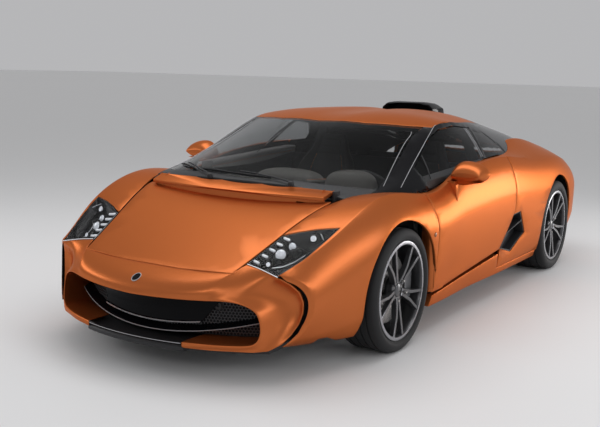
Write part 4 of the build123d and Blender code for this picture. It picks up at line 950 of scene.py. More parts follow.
# the nose's painted skin: one sheet from the mouth's tunnel over the lip to the bonnet, lamp and wing blade
noseSet = {
    # share of the way round the mouth from its middle top, the far edge's place and how far the skin bulges
    "edge": (
        (0.000, 0.000, -2.0810, 0.4935, 0.044), (0.120, 0.150, -2.0805, 0.4938, 0.044),
        (0.230, 0.290, -2.0740, 0.4965, 0.043), (0.308, 0.400, -2.0610, 0.5020, 0.041),
        (0.352, 0.466, -2.0500, 0.5060, 0.038), (0.382, 0.483, -1.9900, 0.5320, 0.034),
        (0.410, 0.490, -1.9740, 0.5385, 0.026), (0.440, 0.560, -1.9860, 0.5310, 0.008),
        (0.470, 0.625, -1.9980, 0.5200, -0.012), (0.495, 0.682, -2.0050, 0.5075, -0.036),
        (0.520, 0.724, -1.9630, 0.4740, -0.050), (0.548, 0.755, -1.9290, 0.4330, -0.056),
        (0.575, 0.768, -1.9160, 0.3870, -0.056), (0.600, 0.767, -1.9170, 0.3370, -0.054),
        (0.625, 0.754, -1.9310, 0.2850, -0.046), (0.650, 0.730, -1.9580, 0.2350, -0.032),
        (0.675, 0.700, -1.9880, 0.1940, -0.016), (0.705, 0.655, -2.0300, 0.1640, -0.003),
        (0.740, 0.600, -2.0740, 0.1585, 0.002), (0.870, 0.430, -2.1580, 0.1580, 0.003),
        (0.9995, 0.292, -2.2040, 0.1580, 0.003),
    ),
    "lipEnd": 0.292, "faceFoot": 0.18, "faceRadius": 1.1560, "faceSlope": 0.075, "tunnelEnd": 0.992,
    "lipRound": 0.0055, "lipTurn": 0.25, "lipSink": 0.1, "lipLead": 1.6, "cornerCuts": 3,
    "leastWeight": 0.05, "proud": 0.0025, "columns": 100, "rows": 13, "softReach": 2.0, "softSteps": 8,
    "shareStep": 0.012,
    # the far edge turns back by seamUpper beside bonnet and lamp, and from seamTurn on by seamLower
    "wall": 0.0028, "seamTurn": 0.497, "seamUpper": (0, 0.002, -0.012), "seamLower": (-0.004, 0.020, 0.002),
    "merge": 0.0002,
}


def through(four, t):
    # the soft curve's value between the second and the third of four values
    a, b, c, d = four
    return 0.5 * (2 * b + (c - a) * t + (2 * a - 5 * b + 4 * c - d) * t * t
                  + (3 * b - a - 3 * c + d) * t ** 3)


def smoothLine(points, steps=8):
    # a soft curve through points
    points = [Vector(p) for p in points]
    last = len(points) - 1
    line = []
    for i in range(last):
        four = [points[min(max(i + k, 0), last)] for k in (-1, 0, 1, 2)]
        line += [through(four, j / steps) for j in range(steps)]
    return line + [points[-1]]


def alongMouth():
    # gives the place at a share of the mouth's outline, from its middle top round to the lower lip's end
    line = [Vector((x, 0, z)) for x, z in grilleSet["mouth"][:-1]]
    line.append(Vector((noseSet["lipEnd"], 0, grilleSet["mouth"][-1][1])))
    for _ in range(noseSet["cornerCuts"]):
        cut = [line[0]]
        for a, b in zip(line, line[1:]):
            cut += [a.lerp(b, 0.25), a.lerp(b, 0.75)]
        line = cut + [line[-1]]
    lengths = [0.0]
    for a, b in zip(line, line[1:]):
        lengths.append(lengths[-1] + (b - a).length)

    def at(share):
        run = min(max(share, 0.0), 1.0) * lengths[-1]
        i = max(k for k in range(len(line) - 1) if lengths[k] <= run + 1e-9)
        return line[i].lerp(line[i + 1], (run - lengths[i]) / max(lengths[i + 1] - lengths[i], 1e-9))

    return at


def softEdge(u):
    # the far edge with its corners averaged out, for the sheet's middle
    table, reach = noseSet["edge"], noseSet["softReach"]
    total, weights = Vector((0, 0, 0)), 0.0
    steps = noseSet["softSteps"]
    for k in range(-steps, steps + 1):
        v = u + k / steps * reach
        mirrored = v < 0
        last = len(table) - 1.0001
        past = max(0.0, abs(v) - last)
        v = min(abs(v), last) - past
        i = int(v)
        p = Vector(table[i][1:4]).lerp(Vector(table[i + 1][1:4]), v - i)
        if past:
            p = Vector(table[-1][1:4]) * 2 - p
        weight = 1 + noseSet["leastWeight"] - abs(k) / steps
        total += Vector((-p.x if mirrored else p.x, p.y, p.z)) * weight
        weights += weight
    return total / weights


def makeNose():
    at = alongMouth()
    table = noseSet["edge"]
    columns, rows = noseSet["columns"], noseSet["rows"]
    grid = []
    for j in range(columns + 1):
        u = j / columns * (len(table) - 1)
        i = min(int(u), len(table) - 2)
        rowA, rowB, t = table[i], table[i + 1], u - i
        share, ex, ey, ez, _ = (a + (b - a) * t for a, b in zip(rowA, rowB))
        bulge = through([table[min(max(i + k, 0), len(table) - 1)][4] for k in (-1, 0, 1, 2)], t)
        place, ahead, behind = (at(share + step)
                                for step in (0, noseSet["shareStep"], -noseSet["shareStep"]))
        run = (ahead - behind).normalized()
        out = Vector((-run.z, 0, run.x))
        if j == 0:
            out = Vector((0, 0, 1))

        def onFace(p, sink=0.0):
            radius = noseSet["faceRadius"] - (p.z - noseSet["faceFoot"]) * noseSet["faceSlope"]
            return Vector((p.x, grilleSet["axisY"] - math.sqrt(radius * radius - p.x * p.x) + sink, p.z))

        r = noseSet["lipRound"]
        deep = onDrum(place.x, noseSet["tunnelEnd"], place.z)
        inner = onFace(place, r)
        column = [deep, deep.lerp(inner, 0.5), inner,
                  onFace(place + out * r * noseSet["lipTurn"], r * noseSet["lipSink"]),
                  onFace(place + out * r, -noseSet["proud"])]
        start = onFace(place + out * r * noseSet["lipLead"])
        end = Vector((ex, ey, ez))
        soft = softEdge(u)
        middle = (start + soft) / 2 + Vector((0, -bulge, 0))
        for k in range(rows):
            s = (k + 1) / rows
            far = soft.lerp(end, s * s)
            column.append(start * (2 * s * s - 3 * s + 1) + middle * (4 * s - 4 * s * s)
                          + far * (2 * s * s - s))
        back = Vector(noseSet["seamUpper"] if share < noseSet["seamTurn"] else noseSet["seamLower"])
        column += [end + back * 0.25, end + back]
        grid.append(column)
    bm = bmesh.new()
    for sign in (1, -1):
        made = [[bm.verts.new((sign * p.x, p.y, p.z)) for p in column] for column in grid]
        for here, there in zip(made, made[1:]):
            for k in range(len(here) - 1):
                corners = (here[k], there[k], there[k + 1], here[k + 1])
                bm.faces.new(corners if sign > 0 else corners[::-1])
    bmesh.ops.remove_doubles(bm, verts=bm.verts, dist=noseSet["merge"])
    bmesh.ops.recalc_face_normals(bm, faces=bm.faces)
    if sum(f.normal.y * f.calc_area() for f in bm.faces) > 0:
        bmesh.ops.reverse_faces(bm, faces=bm.faces)
    mesh = bpy.data.meshes.new("noseSkin")
    bm.to_mesh(mesh)
    bm.free()
    mesh.shade_smooth()
    piece = newPiece("noseSkin", mesh, "paint", "chassis", ("nose_panel",))
    wall = piece.modifiers.new("wall", "SOLIDIFY")
    wall.thickness, wall.offset, wall.use_even_offset = noseSet["wall"], -1, False
    finer = piece.modifiers.new("finer", "SUBSURF")
    finer.levels = finer.render_levels = 1
    return piece


noseSkin = makeNose()
print("nose skin ready")

# small pieces on the skin: a bare badge place, side markers, mirrors, window bars, wipers and thin light
# lines of painted highlight along edges
noseTree = BVHTree.FromObject(noseSkin, bpy.context.evaluated_depsgraph_get())
wingTree = treeOf("front_wings")
# ring tables are (share of the size, rise, finish of the band that ends there)
badgeSet = {
    "place": (0.0, -3.0, 0.447), "half": (0.023, 0.029),
    "rings": ((0, -0.004, 0), (1.0, -0.004, 0), (1.0, 0.00132, 1), (0.96, 0.0022, 1), (0.88, 0.0022, 1),
              (0.85, 0.0011, 1), (0.55, 0.00143, 0), (0, 0.00176, 0)),
}
markerSet = {
    "place": (1.3, -0.866, 0.575), "half": (0.0125, 0.0125),
    "rings": ((0, -0.004, 0), (1.0, -0.004, 0), (1.0, 0.0012, 0), (0.84, 0.0022, 0), (0.80, 0.0010, 0),
              (0.5, 0.0026, 1), (0, 0.0032, 1)),
}


def ovalPlate(bm, centre, normal, half, rings, steps=48):
    matrix = Matrix.Translation(centre) @ Euler(facing(normal)).to_matrix().to_4x4()
    previous = None
    for share, rise, finish in rings:
        wide, tall = half[0] * share, half[1] * share
        angles = circleOf(steps) if share else (0,)
        ring = [bm.verts.new(matrix @ Vector((wide * math.cos(a), tall * math.sin(a), rise)))
                for a in angles]
        if previous:
            for face in joinRings(bm, previous, ring):
                face.material_index = finish
        previous = ring


def makeBadgePlace():
    centre, normal = onto(noseTree, badgeSet["place"], (0, 1, 0))
    bm = bmesh.new()
    ovalPlate(bm, centre, normal, badgeSet["half"], badgeSet["rings"])
    # the badge place's raised rim takes the light grey that paints highlights along edges
    shapedPiece("badgePlace", bm, ("glossBlack", "brightEdge"), "chassis")


def makeMarker(side, sign):
    x, y, z = markerSet["place"]
    centre, normal = onto(wingTree, (sign * x, y, z), (-sign, 0, 0))
    bm = bmesh.new()
    ovalPlate(bm, centre, normal, markerSet["half"], markerSet["rings"], 32)
    shapedPiece(f"sideMarker_{side}", bm, ("glossBlack", "amber"), "chassis")


podSet = {
    # the head's outline from behind as (x, z), shrinking towards the keel along its stations to the front
    "outline": ((0.856, 0.826), (0.849, 0.862), (0.866, 0.905), (0.902, 0.944), (0.975, 0.945),
                (1.042, 0.926), (1.0855, 0.880), (1.060, 0.838), (1.010, 0.822), (0.930, 0.812)),
    "keel": (0.962, 0.868), "rear": -0.4425, "front": -0.5445, "taper": 0.24, "bow": 0.85, "least": 0.05,
    "stations": (0.0, 0.12, 0.32, 0.55, 0.75, 0.90, 0.985), "capInset": 0.003, "stalkTop": 0.832,
}
mirrorSet = {
    "outline": ((0.868, 0.826), (0.866, 0.862), (0.884, 0.900), (0.906, 0.932), (0.972, 0.932),
                (1.036, 0.915), (1.066, 0.881), (1.050, 0.845), (1.020, 0.838), (0.940, 0.822)),
    "middle": (0.965, 0.880), "rearY": -0.4415,
    # each loop as (share of the outline, step to the rear)
    "rim": ((1.0, -0.003), (1.0, 0.0006), (0.985, 0.0014), (0.93, 0.0014), (0.92, 0.0004)),
    "glass": ((0.925, -0.002), (0.925, 0.0009)),
}


def shrunk(outline, middle, wide, tall, y, sign):
    # an (x, z) outline drawn in towards its middle, standing at y
    mx, mz = middle
    return [Vector((sign * (mx + (x - mx) * wide), y, mz + (z - mz) * tall)) for x, z in outline]


def makeMirrorHead(side, sign):
    # a pod with a keel along its front, on the stalk that the door carries
    leaf = f"door_{side}_leaf"
    bm = mergedCopy(f"mirror_{side}")
    bmesh.ops.bisect_plane(bm, geom=bm.verts[:] + bm.edges[:] + bm.faces[:],
                           plane_co=(0, 0, podSet["stalkTop"]),
                           plane_no=(0, 0, 1), clear_outer=True)
    bmesh.ops.holes_fill(bm, edges=[e for e in bm.edges if e.is_boundary])
    shapedPiece(f"mirrorStalk_{side}", bm, "paint", leaf, (f"mirror_{side}",), smoothAngle=40)
    loops = []
    for share in podSet["stations"]:
        y = podSet["rear"] + (podSet["front"] - podSet["rear"]) * share
        wide = 1 - podSet["taper"] * share ** 2
        tall = max(math.sqrt(1 - share ** 2) ** podSet["bow"], podSet["least"])
        loops.append(shrunk(podSet["outline"], podSet["keel"], wide, tall, y, sign))
    bm = bmesh.new()
    loftLoops(bm, loops)
    for cap in [face for face in bm.faces if len(face.verts) > 4]:
        bmesh.ops.inset_individual(bm, faces=[cap], thickness=podSet["capInset"])
    head = shapedPiece(f"mirrorHead_{side}", bm, "paint", leaf, smoothAngle=70)
    finer = head.modifiers.new("finer", "SUBSURF")
    finer.levels = finer.render_levels = 2


def makeMirrorGlass(side, sign):
    for name, key, finish, slotName in (("mirrorRim", "rim", "satinBlack", "satin_black"),
                                        ("mirrorGlass", "glass", "mirrorSilver", "steel")):
        bm = bmesh.new()
        loops = []
        for share, rise in mirrorSet[key]:
            y = mirrorSet["rearY"] + rise
            loops.append(shrunk(mirrorSet["outline"], mirrorSet["middle"], share, share, y, sign))
        loftLoops(bm, loops)
        shapedPiece(f"{name}_{side}", bm, finish, f"door_{side}_leaf")


dividerSet = {"away": 1.3, "top": (-0.583, 0.990), "foot": (-0.663, 0.848), "steps": 6, "proud": 0.0008,
              "radius": 0.0042}


def makeDivider(side, sign):
    glassTree = treeOf(f"door_glass_{side}")
    (topY, topZ), (footY, footZ) = dividerSet["top"], dividerSet["foot"]
    points = []
    for i in range(dividerSet["steps"] + 1):
        t = i / dividerSet["steps"]
        start = (sign * dividerSet["away"], topY + (footY - topY) * t, topZ + (footZ - topZ) * t)
        place, normal = onto(glassTree, start, (-sign, 0, 0))
        if place:
            points.append(place + normal * dividerSet["proud"])
    bm = bmesh.new()
    tube(bm, points, dividerSet["radius"], 10)
    shapedPiece(f"windowBar_{side}", bm, "satinBlack", f"door_{side}_leaf")


wiperSet = {
    "arms": (((-0.235, -1.325), (-0.36, -1.262), (-0.50, -1.165), (-0.545, -1.135)),
             ((0.300, -1.318), (0.16, -1.288), (0.02, -1.270), (-0.10, -1.262))),
    "blades": (((-0.615, -1.105), (-0.55, -1.150), (-0.47, -1.205), (-0.385, -1.256)),
               ((-0.355, -1.248), (-0.20, -1.268), (0.0, -1.284), (0.20, -1.288))),
    "armRise": 0.0150, "armRadius": 0.0048, "bladeRise": 0.0062, "bladeRadius": 0.0042,
    "carrierRise": 0.0055, "carrierRadius": 0.0030, "above": 1.4,
    "pivot": ((-0.004, 0), (-0.004, 0.017), (0.010, 0.016), (0.019, 0.012), (0.022, 0.006), (0.022, 0)),
}


def makeWipers():
    screenTree = treeOf("windscreen", "cowl")
    down = Vector((0, 0, -1))
    arms, rubber = bmesh.new(), bmesh.new()

    def overScreen(line, rise):
        points = []
        for (ax, ay), (bx, by) in zip(line, line[1:]):
            for t in (0, 0.25, 0.5, 0.75):
                start = (ax + (bx - ax) * t, ay + (by - ay) * t, wiperSet["above"])
                points.append(onto(screenTree, start, down)[0] + Vector((0, 0, rise)))
        return points

    for line in wiperSet["arms"]:
        tube(arms, overScreen(line, wiperSet["armRise"]), wiperSet["armRadius"], 8)
        foot = onto(screenTree, (*line[0], wiperSet["above"]), down)[0]
        turnedShape(arms, foot, (0, -0.2, 1), wiperSet["pivot"])
    for line in wiperSet["blades"]:
        points = overScreen(line, wiperSet["bladeRise"])
        tube(rubber, points, wiperSet["bladeRadius"], 8)
        lift = Vector((0, -0.001, wiperSet["carrierRise"]))
        tube(arms, [p + lift for p in points[2:-1]], wiperSet["carrierRadius"], 8)
    shapedPiece("wiperArms", arms, "satinBlack", "chassis", ("wipers",))
    shapedPiece("wiperBlades", rubber, "mattBlack", "chassis")


flapWeb = {"half": 0.562, "steps": 16, "frontMiddle": -1.4345, "frontEnd": -1.4060, "thick": 0.004,
           "foot": (0.731, 0.762), "top": 0.7825}


def makeFlapWeb():
    top, thick, steps = flapWeb["top"], flapWeb["thick"], flapWeb["steps"]
    middle, end = flapWeb["foot"]
    loops = []
    for i in range(2 * steps + 1):
        u = i / steps - 1
        y = flapWeb["frontMiddle"] + (flapWeb["frontEnd"] - flapWeb["frontMiddle"]) * u * u
        foot = middle + (end - middle) * u * u
        section = ((0, foot), (0, top), (thick, top), (thick, foot))
        loops.append([Vector((u * flapWeb["half"], y + step, z)) for step, z in section])
    bm = bmesh.new()
    loftLoops(bm, loops)
    shapedPiece("flapWeb", bm, "paint", bodyOfNode["bonnet"], smoothAngle=40)


# thin light lines along the pillars' edges, the rear glass bars, the lamp's front edge and the splitter,
# standing for their highlights: painted highlights
highlightLineSet = {
    "pillarOuter": ((0.638, -0.250, 1.118), (0.650, -0.307, 1.109), (0.705, -0.634, 0.962),
                    (0.770, -0.960, 0.824)),
    "pillarInner": ((0.570, -0.440, 1.084), (0.586, -0.481, 1.069), (0.605, -0.623, 1.008),
                    (0.711, -1.050, 0.834)),
    "rearBars": (((0.673, 0.122, 1.093), (0.814, 0.085, 0.922)),
                 ((0.668, 0.150, 1.092), (0.812, 0.113, 0.922))),
    "lampEdgeHighlight": ((0.492, -1.9745, 0.5400), (0.560, -1.9868, 0.5330), (0.625, -1.9985, 0.5220),
                 (0.681, -2.0055, 0.5098)),
    "splitterHalf": 0.288, "splitterRadius": 1.1545, "splitterZ": 0.1795, "radius": 0.0017,
    "lampRadius": 0.00153, "proud": 0.0004,
}


def seated(tree, points, back, reach):
    # the points dropped onto a surface from a step back, where they lie near it
    found = []
    for p in points:
        place, normal = onto(tree, p + back, -back)
        if place and (place - p).length < reach:
            found.append(place + normal * highlightLineSet["proud"])
    return found


# painted highlight lines on the pillars, the glass bars and the lamp's front edge
def makeHighlightLines(side, sign):
    outside = treeOf("pillars", f"door_{side}", f"door_glass_{side}", "windscreen")
    def flipped(line):
        return smoothLine([(sign * x, y, z) for x, y, z in line])

    bm = bmesh.new()
    for key in ("pillarOuter", "pillarInner"):
        points = seated(outside, flipped(highlightLineSet[key]), Vector((sign * 0.25, -0.1, 0.3)), 0.05)
        tube(bm, points, highlightLineSet["radius"], 8)
    shapedPiece(f"pillarEdges_{side}", bm, "brightEdge", "chassis")
    bm = bmesh.new()
    for line in highlightLineSet["rearBars"]:
        tube(bm, seated(outside, flipped(line), Vector((sign * 0.3, 0, 0)), 0.06), highlightLineSet["radius"], 8)
    shapedPiece(f"glassBars_{side}", bm, "brightEdge", f"door_{side}_leaf")
    bm = bmesh.new()
    tube(bm, flipped(highlightLineSet["lampEdgeHighlight"]), highlightLineSet["lampRadius"], 8)
    shapedPiece(f"lampEdge_{side}", bm, "reflector", "chassis")


# a thin light grey line along the splitter's top front edge: a painted highlight
def makeSplitterHighlight():
    bm = bmesh.new()
    steps = range(-20, 21)
    line = [onDrum(highlightLineSet["splitterHalf"] * i / 20, highlightLineSet["splitterRadius"], highlightLineSet["splitterZ"])
            for i in steps]
    tube(bm, line, highlightLineSet["radius"], 8)
    shapedPiece("splitterEdge", bm, "brightEdge", "chassis")


makeFlapWeb()
makeSplitterHighlight()
bothSides(makeHighlightLines)
makeBadgePlace()
makeWipers()
for make in (makeMarker, makeMirrorHead, makeMirrorGlass, makeDivider):
    bothSides(make)
print("small pieces ready")


# the cabin: padded seats with sewn channels, dash humps, door cards
seatSet = {
    # the pad's face from the cushion's nose to the head, as (y, z, half width, bolster)
    "profile": (
        (-0.300, 0.300, 0.205, 0.030), (-0.285, 0.372, 0.220, 0.045), (-0.200, 0.392, 0.232, 0.062),
        (-0.060, 0.372, 0.236, 0.072), (0.055, 0.368, 0.236, 0.078), (0.105, 0.420, 0.238, 0.085),
        (0.140, 0.540, 0.246, 0.088), (0.178, 0.680, 0.242, 0.078), (0.208, 0.800, 0.200, 0.045),
        (0.226, 0.880, 0.150, 0.018), (0.238, 0.950, 0.125, 0.010), (0.248, 0.990, 0.105, 0.006),
    ),
    "centre": 0.370, "steps": 9, "across": 33, "crown": 0.010,
    # where a slope starts and how wide it is, in shares of the half width
    "bolster": (0.45, 0.42), "edge": (0.86, 0.14), "edgeShare": 0.5, "edgeDrop": 0.018,
    "thick": 0.062, "thinning": 0.5, "narrowing": 0.97, "floor": 0.20,
    "seamAt": 0.56, "seamWide": 0.055, "groove": 0.0065, "seamRun": (0.04, 0.78), "seamRise": 0.12,
    "channel": 0.052, "channelWide": 0.13, "channelShare": 0.8, "thread": 0.0016,
}


def makeSeat(side, sign):
    across, seamAt, groove = seatSet["across"], seatSet["seamAt"], seatSet["groove"]
    line = smoothLine([(y, z, 0) for y, z, _, _ in seatSet["profile"]], seatSet["steps"])
    sizes = smoothLine([(half, bolster, 0) for _, _, half, bolster in seatSet["profile"]], seatSet["steps"])
    count = len(line)
    runs = [0.0]
    for here, there in zip(line, line[1:]):
        runs.append(runs[-1] + (there - here).length)

    def slope(share, start, wide):
        return min(max((share - start) / wide, 0.0), 1.0)

    def placed(u, half, p):
        return Vector((sign * (seatSet["centre"] + half * u), p.x, p.y))

    front, back, seams = [], [], ([], [])
    for i in range(count):
        along = (line[min(i + 1, count - 1)] - line[max(i - 1, 0)]).normalized()
        normal = Vector((-along.y, along.x, 0))
        half, bolster = sizes[i].x, sizes[i].y
        frontRow, backRow = [], []
        for j in range(across):
            u = 2 * j / (across - 1) - 1
            lift = slope(abs(u), *seatSet["bolster"])
            edge = slope(abs(u), *seatSet["edge"])
            rise = bolster * lift * lift * (3 - 2 * lift)
            rise -= edge * edge * (bolster * seatSet["edgeShare"] + seatSet["edgeDrop"])
            rise -= groove * max(0.0, 1 - abs(abs(u) - seamAt) / seatSet["seamWide"])
            if abs(u) < seamAt:
                rise += seatSet["crown"] * (1 - (u / seamAt) ** 2)
                phase = (runs[i] / seatSet["channel"]) % 1.0
                near = max(0.0, 1 - min(phase, 1 - phase) / seatSet["channelWide"])
                rise -= groove * seatSet["channelShare"] * near
            frontRow.append(placed(u, half, line[i] + normal * rise))
            behind = line[i] - normal * (seatSet["thick"] * (1 - seatSet["thinning"] * edge))
            behind.y = max(behind.y, seatSet["floor"])
            backRow.append(placed(u, half * seatSet["narrowing"], behind))
        front.append(frontRow)
        back.append(backRow)
        start, end = seatSet["seamRun"]
        if start < i / count < end:
            for seam, u in zip(seams, (-seamAt, seamAt)):
                seam.append(placed(u, half, line[i] + normal * (bolster * seatSet["seamRise"])))
    bm = bmesh.new()
    f = [[bm.verts.new(p) for p in row] for row in front]
    b = [[bm.verts.new(p) for p in row] for row in back]
    for i in range(count - 1):
        for j in range(across - 1):
            bm.faces.new((f[i][j], f[i][j + 1], f[i + 1][j + 1], f[i + 1][j]))
            bm.faces.new((b[i][j], b[i + 1][j], b[i + 1][j + 1], b[i][j + 1])).material_index = 1
        for j in (0, across - 1):
            bm.faces.new((f[i][j], f[i + 1][j], b[i + 1][j], b[i][j]))
    for i in (0, count - 1):
        for j in range(across - 1):
            bm.faces.new((f[i][j], f[i][j + 1], b[i][j + 1], b[i][j]))
    replaced = ("seats",) if sign > 0 else ()
    seat = shapedPiece(f"seatPad_{side}", bm, ("seatLeather", "darkTrim"), "chassis",
                       replaced, 60)
    finer = seat.modifiers.new("finer", "SUBSURF")
    finer.levels = finer.render_levels = 1
    bm = bmesh.new()
    for seam in seams:
        stitches(bm, seam, seatSet["thread"])
    shapedPiece(f"seatStitch_{side}", bm, "stitch", "chassis")


dashSet = {
    # each hump's foot and its half sizes, and how its rings square off and close
    "humps": (((-0.040, -0.800, 0.770), (0.225, 0.120, 0.078)),
              ((0.378, -0.800, 0.770), (0.150, 0.125, 0.100))),
    "around": 40, "levels": 14, "square": 2.6, "closing": 0.62, "rising": 0.9,
    "ridge": ((-0.66, -0.985, 0.786), (0.66, -0.985, 0.786)), "ridgeRadius": 0.016,
    "seam": ((0.140, -0.900, 0.8020), (0.180, -0.860, 0.8050), (0.215, -0.800, 0.8045),
             (0.235, -0.730, 0.8000)),
    "seamSink": 0.010, "seamRadius": 0.012, "threadRise": 0.002, "thread": 0.0022,
}


def makeDash():
    pad, thread = bmesh.new(), bmesh.new()
    square, levels = dashSet["square"], dashSet["levels"]
    for foot, (wide, long, tall) in dashSet["humps"]:
        foot = Vector(foot)
        loops = []
        for i in range(levels):
            a = math.pi / 2 * i / levels
            share, rise = math.cos(a) ** dashSet["closing"], tall * math.sin(a) ** dashSet["rising"]
            ring = []
            for t in circleOf(dashSet["around"]):
                cx, cy = math.cos(t), math.sin(t)
                out = share * (abs(cx) ** square + abs(cy) ** square) ** (-1 / square)
                ring.append(pad.verts.new(foot + Vector((wide * cx * out, long * cy * out, rise))))
            loops.append(ring)
        loops.append([pad.verts.new(foot + Vector((0, 0, tall)))])
        for here, there in zip(loops, loops[1:]):
            joinRings(pad, here, there)
        pad.faces.new(loops[0])
    tube(pad, smoothLine(dashSet["ridge"], 12), dashSet["ridgeRadius"], 16)
    line = smoothLine(dashSet["seam"], 10)
    tube(pad, [p - Vector((0, 0, dashSet["seamSink"])) for p in line], dashSet["seamRadius"], 12)
    stitches(thread, [p + Vector((0, 0, dashSet["threadRise"])) for p in line], dashSet["thread"])
    shapedPiece("dashHumps", pad, "leather", "chassis", smoothAngle=50)
    shapedPiece("dashStitch", thread, "stitch", "chassis")


cardSet = {
    "front": -0.690, "rear": 0.300, "steps": 24, "topFront": 0.840, "topRear": 0.884, "inner": 0.705,
    "outer": 0.795,
    # the depth is a share of drop, and a bow that falls off to both ends
    "drop": 0.075, "share": 0.62, "bow": 0.38, "ends": 0.02,
    "roll": 0.016, "rollTurns": (-40, -10, 20, 50, 80, 100), "soft": 0.004, "lip": 0.006,
    "seamDown": 2.2, "seamStep": 0.0035, "thread": 0.0016,
}


def makeDoorCard(side, sign):
    leaf = f"door_{side}_leaf"
    inner, outer, roll, soft, lip = (cardSet[key] for key in ("inner", "outer", "roll", "soft", "lip"))
    loops, line = [], []
    for i in range(cardSet["steps"] + 1):
        t = i / cardSet["steps"]
        y = cardSet["front"] + (cardSet["rear"] - cardSet["front"]) * t
        top = cardSet["topFront"] + (cardSet["topRear"] - cardSet["topFront"]) * t
        bow = math.sin(math.pi * min(max(t, cardSet["ends"]), 1 - cardSet["ends"]))
        foot = top - cardSet["drop"] * (cardSet["share"] + cardSet["bow"] * bow)
        seam = top - roll * cardSet["seamDown"]
        section = [(outer, foot), (inner + soft, foot), (inner, foot + lip), (inner + soft, seam)]
        for a in (math.radians(turn) for turn in cardSet["rollTurns"]):
            section.append((inner + roll * (1 - math.cos(a)) - soft, top - roll + roll * math.sin(a)))
        section.append((outer, top - lip))
        loops.append([Vector((sign * x, y, z)) for x, z in section])
        line.append(Vector((sign * (inner + cardSet["seamStep"]), y, seam)))
    bm, thread = bmesh.new(), bmesh.new()
    loftLoops(bm, loops)
    shapedPiece(f"doorCard_{side}", bm, "cardLeather", leaf, smoothAngle=40)
    stitches(thread, smoothLine(line, 4), cardSet["thread"])
    shapedPiece(f"cardStitch_{side}", thread, "stitch", leaf)


bothSides(makeSeat)
makeDash()
bothSides(makeDoorCard)
for node in ("dashboard", "tub", "steering_wheel"):
    for slot in frame["nodes"][node].material_slots:
        slot.material = finishes["darkTrim"]
print("cabin ready")


# the tail: honeycomb and its frame, light lines, pipe ends and the blades in the cover's slots
tailSet = {
    # the honeycomb's cells, the heights and the half width they fill, narrower below narrowBelow
    "pitch": 0.024, "wire": 0.0018, "depth": 0.007, "sink": 0.001, "low": 0.470, "high": 0.642,
    "columns": 24,
    "reach": 0.548, "narrowBelow": 0.53, "narrowing": 0.7, "behind": 2.6,
    # its frame's corners as (x, z); the frame's depth is read a little outside the opening
    "opening": ((-0.560, 0.540), (-0.540, 0.640), (0.540, 0.640), (0.560, 0.540), (0.520, 0.470),
                (-0.520, 0.470)),
    "frame": 0.0048, "frameSteps": 12, "frameSink": 0.0015, "beside": 1.018, "beyond": 0.008,
    "upperFrom": 0.555,
    "glowLine": ((0.500, 0.6728), (0.728, 0.6608)), "glowSteps": 16, "glowRadius": 0.0034,
    "pipes": (("right", -0.110), ("left", 0.110)), "pipeHeight": 0.395, "pipeBeside": 0.056,
    "pipeSink": 0.002,
    "pipeEnd": 2.2425, "pipeInner": 0.0415, "pipeOuter": 0.0490, "pipeRound": (0.004, 0.001, 0.0015),
}


def makeTailMesh():
    tree = treeOf("rear_mesh")
    pitch = tailSet["pitch"]
    points, turns = [], []
    row, z = 0, tailSet["low"]
    while z < tailSet["high"]:
        half = tailSet["reach"] - max(0.0, tailSet["narrowBelow"] - z) * tailSet["narrowing"]
        for i in range(-tailSet["columns"], tailSet["columns"] + 1):
            x = (i + 0.5 * (row % 2)) * pitch
            place, normal = onto(tree, (x, tailSet["behind"], z), (0, -1, 0))
            if place is not None and abs(x) < half:
                points.append(place - normal * tailSet["sink"])
                turns.append(facing(normal))
        row += 1
        z += pitch * math.sqrt(3) / 2
    cell = hexCell("tailCell", pitch, tailSet["wire"], tailSet["depth"])
    mesh = copiesOn("tailMesh", points, turns, cell, "meshWire")
    newPiece("tailMesh", mesh, None, "chassis")


def makeTailFrame():
    skin = treeOf("rear_bumper")
    bm, line = bmesh.new(), []
    corners = tailSet["opening"]
    for (x0, z0), (x1, z1) in zip(corners, corners[1:] + corners[:1]):
        for k in range(tailSet["frameSteps"]):
            t = k / tailSet["frameSteps"]
            x, z = x0 + (x1 - x0) * t, z0 + (z1 - z0) * t
            beyond = tailSet["beyond"] * (1 if z > tailSet["upperFrom"] else -1)
            place, _ = onto(skin, (x * tailSet["beside"], tailSet["behind"], z + beyond), (0, -1, 0))
            if place is not None:
                line.append(Vector((x, place.y - tailSet["frameSink"], z)))
    tube(bm, line + line[:1], tailSet["frame"], 10)
    shapedPiece("tailFrame", bm, "glossBlack", "chassis", smoothAngle=50)


def makePipeEnds():
    skin = treeOf("rear_bumper")
    end, inner, outer = tailSet["pipeEnd"], tailSet["pipeInner"], tailSet["pipeOuter"]
    long, fine, step = tailSet["pipeRound"]
    for side, x in tailSet["pipes"]:
        start = (x + tailSet["pipeBeside"], tailSet["behind"], tailSet["pipeHeight"])
        foot = onto(skin, start, (0, -1, 0))[0].y - tailSet["pipeSink"]
        bm = bmesh.new()
        lathe(bm, [(foot, inner + 0.002), (end - long, inner), (end - fine, inner + step),
                   (end, (inner + outer) / 2),
                   (end - fine, outer - step), (end - long, outer), (foot, outer)], 64)
        matrix = Matrix.Translation((x, 0, tailSet["pipeHeight"])) @ Matrix.Rotation(math.pi / 2, 4, "Z")
        bmesh.ops.transform(bm, matrix=matrix, verts=bm.verts)
        shapedPiece(f"pipeEnd_{side}", bm, "steel", "chassis", smoothAngle=40)


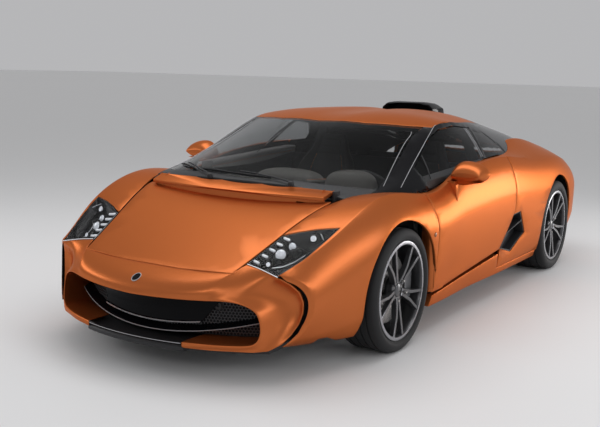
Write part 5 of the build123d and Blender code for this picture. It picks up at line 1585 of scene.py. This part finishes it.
def makeGlowLine(side, sign):
    tree = treeOf("tail_lamps")
    (x0, z0), (x1, z1) = tailSet["glowLine"]
    line = []
    for k in range(tailSet["glowSteps"] + 1):
        t = k / tailSet["glowSteps"]
        start = (sign * (x0 + (x1 - x0) * t), tailSet["behind"], z0 + (z1 - z0) * t)
        place, _ = onto(tree, start, (0, -1, 0))
        if place is not None:
            line.append(place)
    bm = bmesh.new()
    tube(bm, line, tailSet["glowRadius"], 10)
    shapedPiece(f"tailGlow_{side}", bm, "glow", "chassis", smoothAngle=50)


bladeSet = {
    "count": 6, "first": 1.040, "pitch": 0.130, "long": 0.060, "inner": 0.0415, "outer": 0.3285,
    "thick": 0.004,
    # the cover's height is read outside the slot; the front edge stands under it and the rear edge dips
    "outside": 0.006, "above": 1.5, "steps": 6, "frontStep": 0.001, "under": 0.003, "rearStep": 0.010,
    "dip": 0.024,
}


def makeBlades(side, sign):
    tree = treeOf("engine_cover")
    bm = bmesh.new()
    inner, outer, outside = bladeSet["inner"], bladeSet["outer"], bladeSet["outside"]
    down, thick = Vector((0, 0, -1)), Vector((0, 0, -bladeSet["thick"]))
    for i in range(bladeSet["count"]):
        front = bladeSet["first"] + bladeSet["pitch"] * i
        rear = front + bladeSet["long"]
        loops = []
        for k in range(bladeSet["steps"] + 1):
            x = sign * (inner + (outer - inner) * k / bladeSet["steps"])
            ahead = onto(tree, (x, front - outside, bladeSet["above"]), down)[0]
            behind = onto(tree, (x, rear + outside, bladeSet["above"]), down)[0]
            high = Vector((x, front - bladeSet["frontStep"], ahead.z - bladeSet["under"]))
            low = Vector((x, rear - bladeSet["rearStep"], behind.z - bladeSet["dip"]))
            loops.append([high, low, low + thick, high + thick])
        loftLoops(bm, loops)
    shapedPiece(f"coverBlades_{side}", bm, "satinBlack", bodyOfNode["engine_cover"],
                smoothAngle=40)


makeTailMesh()
makeTailFrame()
makePipeEnds()
bothSides(makeGlowLine)
bothSides(makeBlades)
print("tail ready")

bpy.context.view_layer.update()
